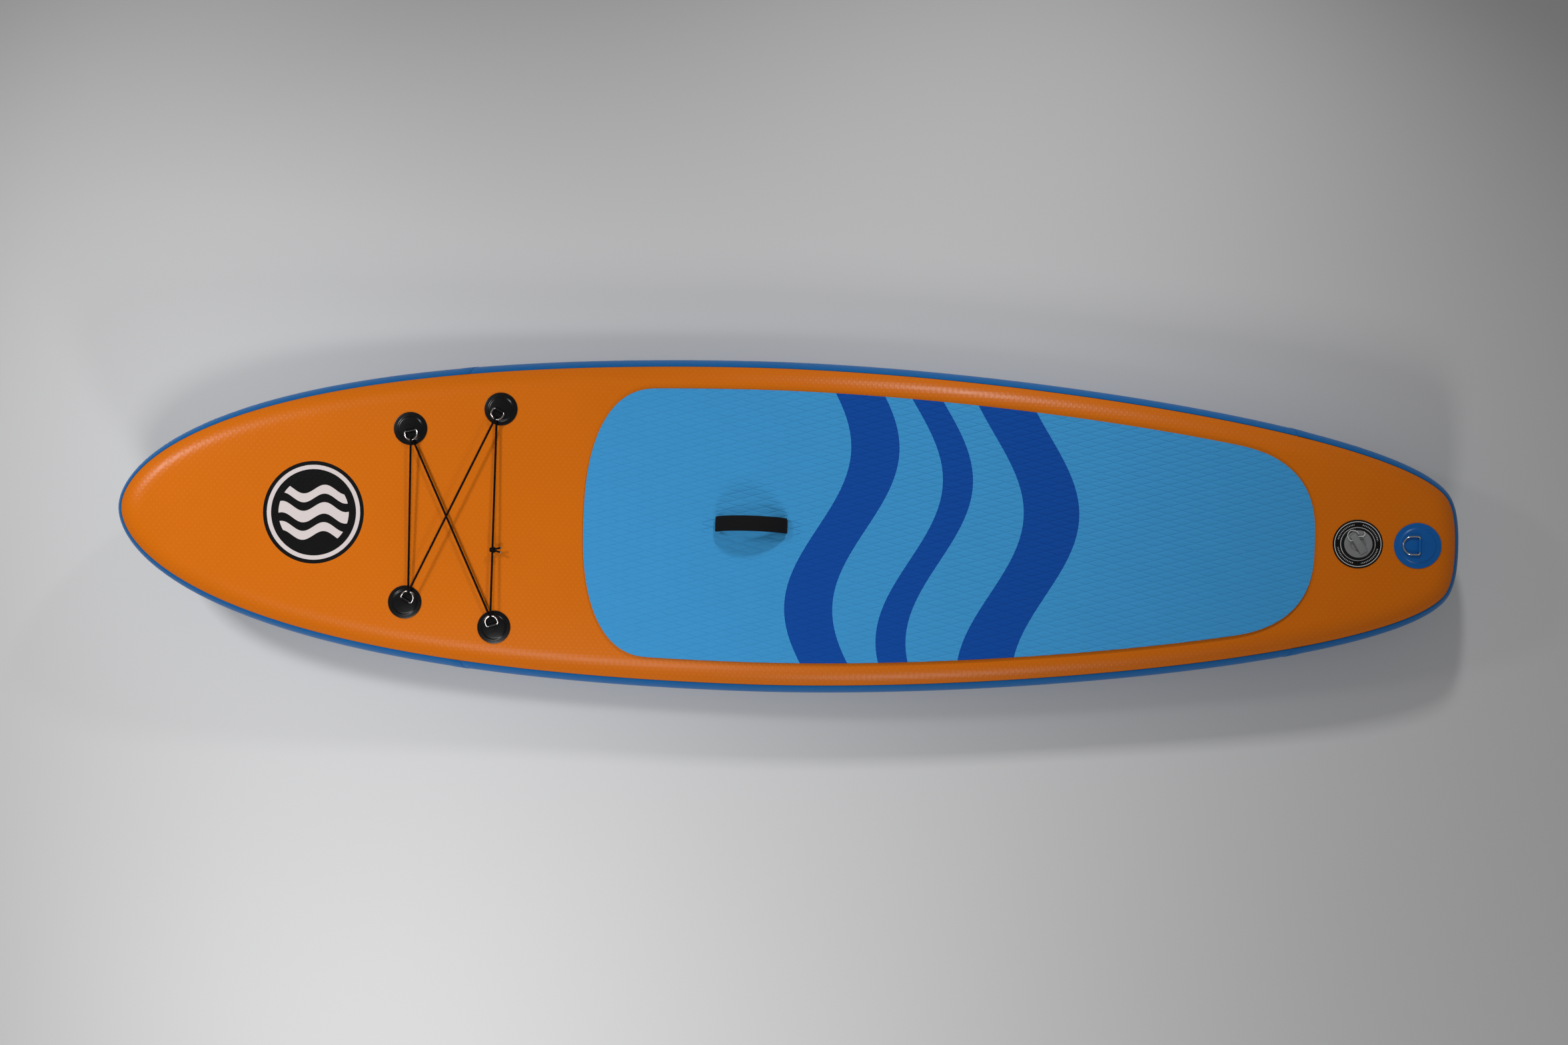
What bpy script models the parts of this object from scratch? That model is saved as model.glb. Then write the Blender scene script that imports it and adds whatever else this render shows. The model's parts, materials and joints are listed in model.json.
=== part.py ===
"""Inflatable stand-up paddle board, lying deck up with its nose towards -X.

Two coated skins are held 150 mm apart by rows of drop-stitch thread. A side wall closes them,
and four rail bands are glued over the joint with lapped ends. On the deck are the grooved pad,
a carry handle, four D-ring patches laced with one shock cord, the inflation valve and the
leash patch. The fin box sits under the tail. Metres, +Z up, origin under the middle.
"""
import math

import bmesh
import bpy
import numpy as np
from mathutils import Matrix, Vector
from mathutils.geometry import tessellate_polygon

for old in list(bpy.data.objects):
    bpy.data.objects.remove(old, do_unlink=True)

# Board, overall
LENGTH = 3.200
WIDTH = 0.814
THICKNESS = 0.150
GAP = 0.0003

# Plan outline: three curves from the nose tip to the middle of the tail, with their handles
WIDE_POINT_FROM_NOSE = 1.513
NOSE_HANDLE = 0.119
FORE_HANDLE = 1.300
AFT_HANDLE = 0.598
QUARTER_HANDLE = 0.216
TAIL_CORNER_INSET = 0.037
TAIL_CORNER_HALF_WIDTH = 0.141
TAIL_CORNER_LEAN = math.radians(45.0)
TAIL_CORNER_HANDLE = 0.027
TAIL_END_HANDLE = 0.094

# Rocker: how far nose and tail rise above the flat middle
NOSE_RISE = 0.150
NOSE_ROCKER_LENGTH = 1.350
NOSE_ROCKER_POWER = 2.2
TAIL_RISE = 0.045
TAIL_ROCKER_LENGTH = 1.050
TAIL_ROCKER_POWER = 2.0

# Coated fabric and rails
SKIN_WALL = 0.0015
BAND_WALL = 0.0012
SIDE_WALL_WALL = 0.0012
BAND_EDGE_ANGLE = math.radians(43.0)
BAND_STEPS = 4
SKIN_STEPS = 2
SIDE_WALL_STEPS = 2
FORE_LAP_FROM_NOSE = 0.815
AFT_LAP_FROM_TAIL = 0.383
LAP_OVERLAP = 0.025
LAP_RAMP = 0.008
LAP_SWEEP = 0.013
LAP_CLEAR = 0.070

# How finely the outline is divided
CURVE_SAMPLES = 400
STATION_SPACING = 0.165
STATION_TURN = math.radians(14.0)

# Drop-stitch core inside, in blocks short enough to follow the rocker
CORE_NOSE_BLOCKS = 5
CORE_REAR_BLOCKS = 3
CORE_VALVE_CLEAR = 0.001

# Deck pad
PAD_FRONT_FROM_NOSE = 1.109
PAD_REAR_FROM_TAIL = 0.349
PAD_MARGIN = 0.078
PAD_THICKNESS = 0.005
PAD_CHAMFER = 0.0015
PAD_FRONT_ROUNDING = 0.170
PAD_FRONT_POWER = 2.45
PAD_REAR_ROUNDING = 0.200
PAD_REAR_POWER = 2.9
PAD_TIP_HALF_WIDTH = 0.020
PAD_END_STEPS = 8

# Carry handle
HANDLE_FROM_NOSE = 1.517
WEBBING_WIDTH = 0.030
WEBBING_THICKNESS = 0.002
HANDLE_HEIGHT = 0.046
GRIP_LENGTH = 0.170
GRIP_WIDTH = 0.037
GRIP_THICKNESS = 0.0070
GRIP_CORNER = 0.0018
GRIP_CLEARANCE = 0.0004
HANDLE_FOOT_START = 0.092
HANDLE_FOOT_END = 0.116
HANDLE_PATCH_WIDTH = 0.036
HANDLE_WINDOW_INNER = 0.0835
HANDLE_LEAN = 0.0055

# D-ring patches for the shock cord: places, and the way each ring's bow points
CORD_FRONT_FROM_NOSE = 0.685
CORD_FRONT_HALF_SPAN = 0.258 * WIDTH
CORD_REAR_FROM_NOSE = 0.900
CORD_REAR_HALF_SPAN = 0.325 * WIDTH
FRONT_STARBOARD_HEADING = math.radians(-76.0)
REAR_STARBOARD_HEADING = math.radians(-119.0)
FRONT_PORT_HEADING = math.radians(58.0)
REAR_PORT_HEADING = math.radians(110.0)
CORD_PATCH_RADIUS = 0.040
CORD_STEP_RADIUS = 0.029
CORD_RING_INNER_WIDTH = 0.025
CORD_RING_DEPTH = 0.0235
CORD_TAB_WIDTH = 0.0210
CORD_RING_TILT = math.radians(15.0)
CORD_BAR_OFFSET = 0.0055

# Leash patch
LEASH_FROM_TAIL = 0.115
LEASH_PATCH_RADIUS = 0.0565
LEASH_STEP_RADIUS = 0.0430
LEASH_RING_INNER_WIDTH = 0.0380
LEASH_RING_DEPTH = 0.0370
LEASH_TAB_WIDTH = 0.0310
LEASH_BAR_OFFSET = -0.0030

# Layers that all D-ring patches share
PATCH_WALL = 0.0012
BACKING_WALL = 0.0010
TAB_WALL = 0.0011
TAB_FOOT_LENGTH = 0.015
RING_WIRE_RADIUS = 0.0020
RING_BORE_CLEARANCE = 0.00035
PATCH_SEGMENTS = 24
STEP_SLOPE = 0.0018
SLOT_CLEARANCE = 0.0004

# Shock cord
CORD_RADIUS = 0.0025
CORD_BEND_STEPS = 8
CORD_STRAND_STEPS = 5
KNOT_Y = -0.0775
KNOT_HALF_LENGTH = 0.0078
KNOT_RADIUS = 0.0072
KNOT_TAIL_LENGTH = 0.0225
KNOT_TAIL_SPREAD = 0.0029
KNOT_TAIL_SPLAY = math.radians(9.0)

# Inflation valve, heights above the deck
VALVE_FROM_TAIL = 0.250
VALVE_SEGMENTS = 28
LABEL_RADIUS = 0.060
LABEL_THICKNESS = 0.0006
FLANGE_RADIUS = 0.0395
FLANGE_HEIGHT = 0.0056
FLANGE_CHAMFER = 0.0010
WELL_FLOOR = 0.0032
NECK_RADIUS = 0.0250
NECK_CLEARANCE = 0.0005
NECK_DEPTH = 0.030
BORE_RADIUS = 0.0210
BORE_DEPTH = 0.016
MOUTH_RADIUS = 0.0125
SEAT_DEPTH = 0.022
OUTLET_RADIUS = 0.0190
CAP_RADIUS = 0.0335
CAP_CLEARANCE = 0.0006
CAP_EDGE_HEIGHT = 0.0060
CAP_TOP_HEIGHT = 0.0070
CAP_TOP_RADIUS = 0.0315
CAP_RECESS_RADIUS = 0.0175
CAP_RECESS_FLOOR = 0.0052
CAP_CUP_CEILING = 0.0030
PLUG_RADIUS = 0.0204
PLUG_WALL = 0.0030
PLUG_DEPTH = 0.0060
SEAL_RING_WIRE = 0.0008
SEAL_RING_HEIGHT = -0.0010
BAR_LENGTH = 0.0495
BAR_NARROW_WIDTH = 0.0150
BAR_WIDE_WIDTH = 0.0185
BAR_TOP = 0.0118
BAR_END_DROP = 0.0028
BAR_CHAMFER = 0.0012
BAR_HEADING = math.radians(-57.1)
BAR_HOLE_ALONG = -0.0146
BAR_HOLE_HEIGHT = 0.0091
BAR_HOLE_RADIUS = 0.0014
TETHER_RADIUS = 0.0009
NUT_RADIUS = 0.036
NUT_HEIGHT = 0.007
NUT_SEAT_CLEARANCE = 0.0006
GUIDE_THICKNESS = 0.0030
GUIDE_RIM = 0.0035
GUIDE_HUB_RADIUS = 0.0050
GUIDE_SPOKE_HALF_ANGLE = math.radians(10.0)
STEM_RADIUS = 0.0020
STEM_CLEARANCE = 0.0004
BUTTON_RADIUS = 0.0060
BUTTON_TOP = -0.0005
BUTTON_THICKNESS = 0.0025
SEAL_RADIUS = 0.0150
SEAL_THICKNESS = 0.0025
STEM_HEAD_RADIUS = 0.0070
STEM_HEAD_THICKNESS = 0.0020
SPRING_WIRE_RADIUS = 0.0004
SPRING_RADIUS = 0.0035
SPRING_TURNS = 4
SPRING_STEPS_PER_TURN = 10

# Fin box under the tail
FIN_BOX_REAR_FROM_TAIL = 0.190
FIN_BOX_LENGTH = 0.225
FIN_BOX_BASE_WIDTH = 0.060
FIN_BOX_BASE_THICKNESS = 0.0025
FIN_BOX_CHANNEL_WIDTH = 0.028
FIN_BOX_HEIGHT = 0.0115
FIN_BOX_NOSE_SHARE = 0.45
FIN_SLOT_WIDTH = 0.009
FIN_SLOT_INNER_WIDTH = 0.016
FIN_SLOT_LIP = 0.003
FIN_BOX_RAMP = 0.030
FIN_PATCH_LENGTH = 0.280
FIN_PATCH_WIDTH = 0.110
FIN_PATCH_THICKNESS = 0.0012
FIN_PATCH_POWER = 3.0

NOSE_X = -LENGTH / 2
TAIL_X = LENGTH / 2
SKIN_RADIUS = THICKNESS / 2
BAND_RADIUS = SKIN_RADIUS + GAP + BAND_WALL
SIDE_WALL_RADIUS = SKIN_RADIUS - SKIN_WALL - GAP
SKIN_ROLL = (math.pi / 2 - BAND_EDGE_ANGLE) / SKIN_STEPS


# Finishes

def linear(level):
    """One 0 to 255 display level as the linear value that a shader takes."""
    share = level / 255.0
    return share / 12.92 if share <= 0.04045 else ((share + 0.055) / 1.055) ** 2.4


def finish(name, levels, roughness, metallic=0.0):
    material = bpy.data.materials.new(name)
    material.use_nodes = True
    shader = material.node_tree.nodes["Principled BSDF"]
    colour = [linear(level) for level in levels]
    shader.inputs["Base Color"].default_value = (*colour, 1.0)
    shader.inputs["Roughness"].default_value = roughness
    shader.inputs["Metallic"].default_value = metallic
    return material


ORANGE = (214, 108, 16)
RAIL_BLUE = (36, 100, 165)
PAD_BLUE = (62, 145, 200)
DEEP_BLUE = (10, 75, 145)
BLACK = (18, 18, 19)
GREY = (112, 112, 112)
STEEL = (196, 196, 198)
THREAD = (225, 225, 220)
PALE = (205, 205, 200)


# Mesh helpers

def add_object(name, mesh_maker, look, parent=None):
    """Link an object whose closed mesh is filled by mesh_maker, with outward faces."""
    shape = bmesh.new()
    mesh_maker(shape)
    bmesh.ops.recalc_face_normals(shape, faces=shape.faces)
    mesh = bpy.data.meshes.new(name)
    shape.to_mesh(mesh)
    shape.free()
    mesh.shade_smooth()
    mesh.set_sharp_from_angle(angle=math.radians(35.0))
    mesh.materials.append(finish(name, *look))
    item = bpy.data.objects.new(name, mesh)
    bpy.context.scene.collection.objects.link(item)
    item.parent = parent
    return item


def empty(name, location, rotation=(0.0, 0.0, 0.0)):
    item = bpy.data.objects.new(name, None)
    item.location = location
    item.rotation_euler = rotation
    bpy.context.scene.collection.objects.link(item)
    return item


def boolean(item, tool, operation):
    """Cut or join a hidden tool into an item."""
    tool.hide_render = True
    tool.display_type = "WIRE"
    modifier = item.modifiers.new(tool.name, "BOOLEAN")
    modifier.operation = operation
    modifier.solver = "EXACT"
    modifier.object = tool


def grid_faces(shape, rows, wrap_rows, wrap_columns):
    """Join rows of vertices with faces; a shared vertex makes a triangle."""
    row_count = len(rows)
    column_count = len(rows[0])
    for r in range(row_count if wrap_rows else row_count - 1):
        near = rows[r]
        far = rows[(r + 1) % row_count]
        for c in range(column_count if wrap_columns else column_count - 1):
            after = (c + 1) % column_count
            corners = []
            for corner in (near[c], near[after], far[after], far[c]):
                if corner not in corners:
                    corners.append(corner)
            if len(corners) > 2:
                shape.faces.new(corners)


def loft(name, sections, look, parent=None, closed=False):
    """Skin a list of equal point loops, with flat caps unless the loops close on themselves."""
    def fill(shape):
        rows = [[shape.verts.new(point) for point in section] for section in sections]
        grid_faces(shape, rows, closed, True)
        if not closed:
            shape.faces.new(rows[0])
            shape.faces.new(rows[-1])
    return add_object(name, fill, look, parent)


def sleeve(name, outer, inner, look, parent=None):
    """Skin an open-ended tube that has an outer and an inner loop at each step."""
    def fill(shape):
        outside = [[shape.verts.new(point) for point in section] for section in outer]
        inside = [[shape.verts.new(point) for point in section] for section in inner]
        grid_faces(shape, outside, False, True)
        grid_faces(shape, inside, False, True)
        grid_faces(shape, [outside[0], inside[0]], False, True)
        grid_faces(shape, [outside[-1], inside[-1]], False, True)
    return add_object(name, fill, look, parent)


def revolve(name, profile, segments, look, parent=None):
    """Turn a profile of (radius, height) about Z; one that leaves the axis closes on itself."""
    def fill(shape):
        rows = []
        for radius, height in profile:
            if radius == 0.0:
                rows.append([shape.verts.new((0.0, 0.0, height))] * segments)
                continue
            ring = []
            for step in range(segments):
                angle = math.tau * step / segments
                ring.append(shape.verts.new((radius * math.cos(angle), radius * math.sin(angle), height)))
            rows.append(ring)
        grid_faces(shape, rows, profile[0][0] > 0.0, True)
    return add_object(name, fill, look, parent)


def prism(name, loops, low, high, place, look, parent=None):
    """Extrude an outline with holes; place turns (a, b, height) into a point."""
    def fill(shape):
        flat = [[Vector((a, b, 0.0)) for a, b in loop] for loop in loops]
        points = [point for loop in loops for point in loop]
        bottom = [shape.verts.new(place(a, b, low)) for a, b in points]
        top = [shape.verts.new(place(a, b, high)) for a, b in points]
        for triangle in tessellate_polygon(flat):
            shape.faces.new([bottom[i] for i in triangle])
            shape.faces.new([top[i] for i in triangle])
        start = 0
        for loop in loops:
            count = len(loop)
            rows = [bottom[start:start + count], top[start:start + count]]
            grid_faces(shape, rows, False, True)
            start += count
    return add_object(name, fill, look, parent)


def box(name, low, high, look, parent=None):
    corners = [(low[0], low[1]), (high[0], low[1]), (high[0], high[1]), (low[0], high[1])]
    sections = [[(x, y, z) for x, y in corners] for z in (low[2], high[2])]
    return loft(name, sections, look, parent)


def circle(radius, count, centre=(0.0, 0.0), start=0.0):
    return [(centre[0] + radius * math.cos(start + math.tau * i / count),
             centre[1] + radius * math.sin(start + math.tau * i / count)) for i in range(count)]


def smooth_path(points, count):
    """Evenly spaced points on a smooth curve through all the given points."""
    knots = [Vector(point) for point in points]
    padded = [2 * knots[0] - knots[1], *knots, 2 * knots[-1] - knots[-2]]
    fine = []
    steps = 24
    for i in range(1, len(padded) - 2):
        before, here, there, after = padded[i - 1:i + 3]
        for step in range(steps):
            t = step / steps
            fine.append(0.5 * (2 * here + (there - before) * t
                               + (2 * before - 5 * here + 4 * there - after) * t ** 2
                               + (3 * here - before - 3 * there + after) * t ** 3))
    fine.append(knots[-1])
    run = np.cumsum([0.0] + [(b - a).length for a, b in zip(fine, fine[1:])])
    wanted = np.linspace(0.0, run[-1], count)
    axes = [np.interp(wanted, run, [point[axis] for point in fine]) for axis in range(3)]
    return [Vector(point) for point in zip(*axes)]


def cord(name, points, radius, sides_level, look, parent=None):
    """A round cord along points, as a bevelled curve with filled ends."""
    data = bpy.data.curves.new(name, "CURVE")
    data.dimensions = "3D"
    data.bevel_depth = radius
    data.bevel_resolution = sides_level
    data.use_fill_caps = True
    spline = data.splines.new("POLY")
    spline.points.add(len(points) - 1)
    for target, point in zip(spline.points, points):
        target.co = (*point, 1.0)
    data.materials.append(finish(name, *look))
    item = bpy.data.objects.new(name, data)
    bpy.context.scene.collection.objects.link(item)
    item.parent = parent
    return item


# The board's outline and rocker

def bezier(points, count):
    t = np.linspace(0.0, 1.0, count)[:, None]
    a, b, c, d = (np.array(point) for point in points)
    return (1 - t) ** 3 * a + 3 * (1 - t) ** 2 * t * b + 3 * (1 - t) * t ** 2 * c + t ** 3 * d


def half_outline():
    """Fine points along the starboard edge, from the nose tip to the middle of the tail."""
    wide = NOSE_X + WIDE_POINT_FROM_NOSE
    half = WIDTH / 2
    corner = np.array((TAIL_X - TAIL_CORNER_INSET, TAIL_CORNER_HALF_WIDTH))
    lean = np.array((math.cos(TAIL_CORNER_LEAN), -math.sin(TAIL_CORNER_LEAN)))
    fore = bezier([(NOSE_X, 0.0), (NOSE_X, NOSE_HANDLE), (wide - FORE_HANDLE, half), (wide, half)],
                  CURVE_SAMPLES)
    quarter = bezier([(wide, half), (wide + AFT_HANDLE, half), corner - lean * QUARTER_HANDLE, corner],
                     CURVE_SAMPLES)
    end = bezier([corner, corner + lean * TAIL_CORNER_HANDLE, (TAIL_X, TAIL_END_HANDLE), (TAIL_X, 0.0)],
                 CURVE_SAMPLES)
    return np.vstack([fore, quarter[1:], end[1:]])


def rocker(x):
    """Rise of the bottom above the flat middle."""
    nose = np.clip((NOSE_X + NOSE_ROCKER_LENGTH - x) / NOSE_ROCKER_LENGTH, 0.0, None)
    tail = np.clip((x - TAIL_X + TAIL_ROCKER_LENGTH) / TAIL_ROCKER_LENGTH, 0.0, None)
    return NOSE_RISE * nose ** NOSE_ROCKER_POWER + TAIL_RISE * tail ** TAIL_ROCKER_POWER


def stations():
    """Places round the half outline as (x, y, normal x, normal y), closer where it turns.

    None falls inside a lap, so that each lapped joint lies on one flat stretch of rail.
    """
    fine = half_outline()
    step = np.diff(fine, axis=0)
    heading = np.unwrap(np.arctan2(step[:, 1], step[:, 0]))
    turn = np.abs(np.diff(heading, prepend=heading[0]))
    effort = np.cumsum(np.hypot(step[:, 0], step[:, 1]) / STATION_SPACING + turn / STATION_TURN)
    effort = np.concatenate([[0.0], effort])
    breaks = [0.0]
    for lap in (NOSE_X + FORE_LAP_FROM_NOSE, TAIL_X - AFT_LAP_FROM_TAIL):
        breaks += [float(np.interp(lap - LAP_CLEAR, fine[:, 0], effort)),
                   float(np.interp(lap + LAP_CLEAR, fine[:, 0], effort))]
    breaks.append(float(effort[-1]))
    wanted = [0.0]
    for index, (start, stop) in enumerate(zip(breaks, breaks[1:])):
        pieces = 1 if index in (1, 3) else 2 * max(1, math.ceil((stop - start) / 2))
        wanted += list(np.linspace(start, stop, pieces + 1)[1:])
    tangent = np.gradient(fine, axis=0)
    tangent /= np.hypot(tangent[:, 0], tangent[:, 1])[:, None]
    places = []
    for value in wanted:
        x, y = (float(np.interp(value, effort, fine[:, axis])) for axis in (0, 1))
        tx, ty = (float(np.interp(value, effort, tangent[:, axis])) for axis in (0, 1))
        size = math.hypot(tx, ty)
        places.append((x, y, -ty / size, tx / size))
    places[0] = (NOSE_X, 0.0, -1.0, 0.0)
    places[-1] = (TAIL_X, 0.0, 1.0, 0.0)
    return places


HALF_STATIONS = stations()
LAST = len(HALF_STATIONS) - 1
LOOP = HALF_STATIONS + [(x, -y, nx, -ny) for x, y, nx, ny in reversed(HALF_STATIONS[1:-1])]
FLAT_X = [x - nx * BAND_RADIUS for x, y, nx, ny in HALF_STATIONS]
FLAT_RISE = [float(rocker(x)) for x in FLAT_X]


def bottom_height(x):
    """Height of the faceted bottom on the middle line."""
    return float(np.interp(x, FLAT_X, FLAT_RISE))


def deck_height(x):
    return bottom_height(x) + THICKNESS


def rail_point(place, radius, angle):
    """A point on the round rail, at an angle above its widest line."""
    x, y, nx, ny = place
    reach = radius * math.cos(angle) - BAND_RADIUS
    out_x = x + nx * reach
    return Vector((out_x, y + ny * reach, float(rocker(out_x)) + THICKNESS / 2 + radius * math.sin(angle)))


def rail_between(position, radius, angle):
    """A rail point at a fractional station number, on the flat stretch between two stations."""
    first = math.floor(position)
    share = position - first
    start = rail_point(LOOP[first % len(LOOP)], radius, angle)
    if share == 0.0:
        return start
    return start.lerp(rail_point(LOOP[(first + 1) % len(LOOP)], radius, angle), share)


# Skins, side wall and rail bands

def skin(name, side):
    """Deck (side 1) or bottom (side -1) skin: flat across, rolled over the rail's edge."""
    lap_step = 2 * BAND_EDGE_ANGLE / BAND_STEPS
    angles = [math.pi / 2 - SKIN_ROLL * step for step in range(SKIN_STEPS + 1)]
    angles.append(BAND_EDGE_ANGLE - lap_step)

    def fill(shape):
        edges = []
        for radius in (SKIN_RADIUS, SKIN_RADIUS - SKIN_WALL):
            rows = [[shape.verts.new(rail_point(place, radius, side * angle)) for place in LOOP]
                    for angle in angles]
            grid_faces(shape, rows, False, True)
            flat = rows[0]
            for i in range(LAST):
                corners = [flat[i], flat[i + 1]]
                for mirrored in (-(i + 1), -i):
                    corner = flat[mirrored % len(LOOP)]
                    if corner not in corners:
                        corners.append(corner)
                shape.faces.new(corners)
            edges.append(rows[-1])
        grid_faces(shape, edges, False, True)
    return add_object(name, fill, (ORANGE if side > 0 else RAIL_BLUE, 0.42))


def side_wall():
    """The inner strip that closes the board between the skins, all the way round."""
    outer = SIDE_WALL_RADIUS
    inner = SIDE_WALL_RADIUS - SIDE_WALL_WALL
    reach = math.pi / 2 - SKIN_ROLL
    angles = np.linspace(reach, -reach, SIDE_WALL_STEPS + 1)
    sections = []
    for place in LOOP:
        loop = [rail_point(place, outer, angle) for angle in angles]
        loop += [rail_point(place, inner, angle) for angle in reversed(angles)]
        sections.append(loop)
    return loft("side_wall", sections, (BLACK, 0.5), closed=True)


def lap_column(middle, along, lift, angle):
    """Radius lift and fractional station of one point of a band's swept end."""
    interval = (Vector(LOOP[math.floor(middle) % len(LOOP)][:2])
                - Vector(LOOP[(math.floor(middle) + 1) % len(LOOP)][:2])).length
    sweep = LAP_SWEEP * math.sin(math.pi / 2 * angle / BAND_EDGE_ANGLE)
    return middle + (along + sweep) / interval, lift


def rail_band(name, start, stop, over):
    """A rail band between two lap middles, given in station numbers.

    A band that goes over has lifted ends which cover the ends of its neighbours.
    """
    angles = np.linspace(BAND_EDGE_ANGLE, -BAND_EDGE_ANGLE, BAND_STEPS + 1)
    reach = LAP_OVERLAP / 2
    raised = BAND_WALL + 2 * GAP
    columns = []
    if over:
        covered = reach + 10 * GAP
        columns = [(start, -reach, raised), (start, covered, raised), (start, covered + LAP_RAMP, 0.0)]
    else:
        columns = [(start, -reach, 0.0)]
    columns += [(number, None, 0.0) for number in range(math.ceil(start), math.floor(stop) + 1)]
    tail_end = [(stop, -along, lift) for _, along, lift in columns if along is not None]
    columns += reversed(tail_end)
    sections = []
    for middle, along, lift in columns:
        loop = []
        for radius, order in ((BAND_RADIUS, angles), (BAND_RADIUS - BAND_WALL, angles[::-1])):
            for angle in order:
                if along is None:
                    loop.append(rail_between(middle, radius, angle))
                else:
                    position, rise = lap_column(middle, along, lift, angle)
                    loop.append(rail_between(position, radius + rise, angle))
        sections.append(loop)
    return loft(name, sections, (RAIL_BLUE, 0.38))


def core_section(place):
    """Half of the core's cross-section at a station, from the deck down to the bottom."""
    skin_gap = SKIN_RADIUS - SKIN_WALL - GAP
    wall_gap = SIDE_WALL_RADIUS - SIDE_WALL_WALL - GAP
    corner = math.pi / 2 - SKIN_ROLL
    ring = [(skin_gap, math.pi / 2), (wall_gap, corner), (wall_gap, 0.0), (wall_gap, -corner),
            (skin_gap, -math.pi / 2)]
    return [rail_point(place, radius, angle) for radius, angle in ring]


def core_block(name, fore, aft, inner=None, outer=None):
    """One block of the core: the threads that fill the board between two places along it."""
    sections = []
    for place in HALF_STATIONS[1:-1]:
        half = core_section(place)
        sections.append(half + [Vector((p.x, -p.y, p.z)) for p in reversed(half)])
    block = loft(name, sections, (THREAD, 0.8))
    low = -WIDTH if inner is None else inner
    high = WIDTH if outer is None else outer
    slab = box(f"cut_{name}", (fore + GAP / 2, low + GAP / 2, -THICKNESS),
               (aft - GAP / 2, high - GAP / 2, 3 * THICKNESS), (THREAD, 0.8))
    boolean(block, slab, "INTERSECT")
    return block


deck = skin("deck_skin", 1)
skin("bottom_skin", -1)
side_wall()
FORE_LAP = [x > NOSE_X + FORE_LAP_FROM_NOSE for x, _, _, _ in HALF_STATIONS].index(True) - 0.5
AFT_LAP = [x > TAIL_X - AFT_LAP_FROM_TAIL for x, _, _, _ in HALF_STATIONS].index(True) - 0.5
rail_band("rail_band_nose", -FORE_LAP, FORE_LAP, True)
rail_band("rail_band_starboard", FORE_LAP, AFT_LAP, False)
rail_band("rail_band_tail", AFT_LAP, len(LOOP) - AFT_LAP, True)
rail_band("rail_band_port", len(LOOP) - AFT_LAP, len(LOOP) - FORE_LAP, False)

nose_flat = NOSE_X + NOSE_ROCKER_LENGTH
tail_flat = TAIL_X - TAIL_ROCKER_LENGTH
valve_reach = NUT_RADIUS + CORE_VALVE_CLEAR
valve_x = TAIL_X - VALVE_FROM_TAIL
nose_cuts = np.linspace(NOSE_X, nose_flat, CORE_NOSE_BLOCKS + 1)
rear_cuts = np.linspace(tail_flat, valve_x - valve_reach, CORE_REAR_BLOCKS + 1)
for number, (fore, aft) in enumerate(zip(nose_cuts, nose_cuts[1:]), 1):
    core_block(f"drop_stitch_nose_{number}", fore, aft)
core_block("drop_stitch_middle", nose_flat, tail_flat)
for number, (fore, aft) in enumerate(zip(rear_cuts, rear_cuts[1:]), 1):
    core_block(f"drop_stitch_rear_{number}", fore, aft)
core_block("drop_stitch_valve_starboard", valve_x - valve_reach, valve_x + valve_reach, inner=valve_reach)
core_block("drop_stitch_valve_port", valve_x - valve_reach, valve_x + valve_reach, outer=-valve_reach)
core_block("drop_stitch_tail", valve_x + valve_reach, TAIL_X)


# Deck pad

def pad_half_width(x):
    """Half width of the pad: the board's own curve less a margin, rounded off at both ends."""
    fine = half_outline()
    half = float(np.interp(x, fine[:, 0], fine[:, 1])) - PAD_MARGIN
    front = (NOSE_X + PAD_FRONT_FROM_NOSE + PAD_FRONT_ROUNDING - x) / PAD_FRONT_ROUNDING
    rear = (x - TAIL_X + PAD_REAR_FROM_TAIL + PAD_REAR_ROUNDING) / PAD_REAR_ROUNDING
    if front > 0.0:
        half *= max(0.0, 1.0 - front ** PAD_FRONT_POWER) ** (1.0 / PAD_FRONT_POWER)
    if rear > 0.0:
        half *= max(0.0, 1.0 - rear ** PAD_REAR_POWER) ** (1.0 / PAD_REAR_POWER)
    return max(half, PAD_TIP_HALF_WIDTH)


def sheet(name, places, half_width, low, high, chamfer, look):
    """A flat sheet laid along X that bends where the board's own facets bend."""
    sections = []
    for x in places:
        half = half_width(x)
        slope = min(chamfer, half / 2)
        sections.append([(x, -half, low(x)), (x, half, low(x)), (x, half, high(x) - chamfer),
                         (x, half - slope, high(x)), (x, slope - half, high(x)), (x, -half, high(x) - chamfer)])
    return loft(name, sections, look)


pad_front = NOSE_X + PAD_FRONT_FROM_NOSE
pad_rear = TAIL_X - PAD_REAR_FROM_TAIL
ends = [1.0 - math.cos(math.pi / 2 * step / PAD_END_STEPS) for step in range(PAD_END_STEPS + 1)]
pad_places = [pad_front + PAD_FRONT_ROUNDING * share for share in ends]
pad_places += [pad_rear - PAD_REAR_ROUNDING * share for share in ends]
pad_places += [x for x in FLAT_X if pad_front < x < pad_rear]
pad_places = sorted(pad_places)
pad_places = [x for i, x in enumerate(pad_places) if i == 0 or x - pad_places[i - 1] > 0.0001]
pad = sheet("deck_pad", pad_places, pad_half_width, lambda x: deck_height(x) + GAP,
            lambda x: deck_height(x) + GAP + PAD_THICKNESS, PAD_CHAMFER, (PAD_BLUE, 0.75))
PAD_TOP = GAP + PAD_THICKNESS


# Carry handle: webbing, padded grip and the two patches that hold its feet

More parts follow.
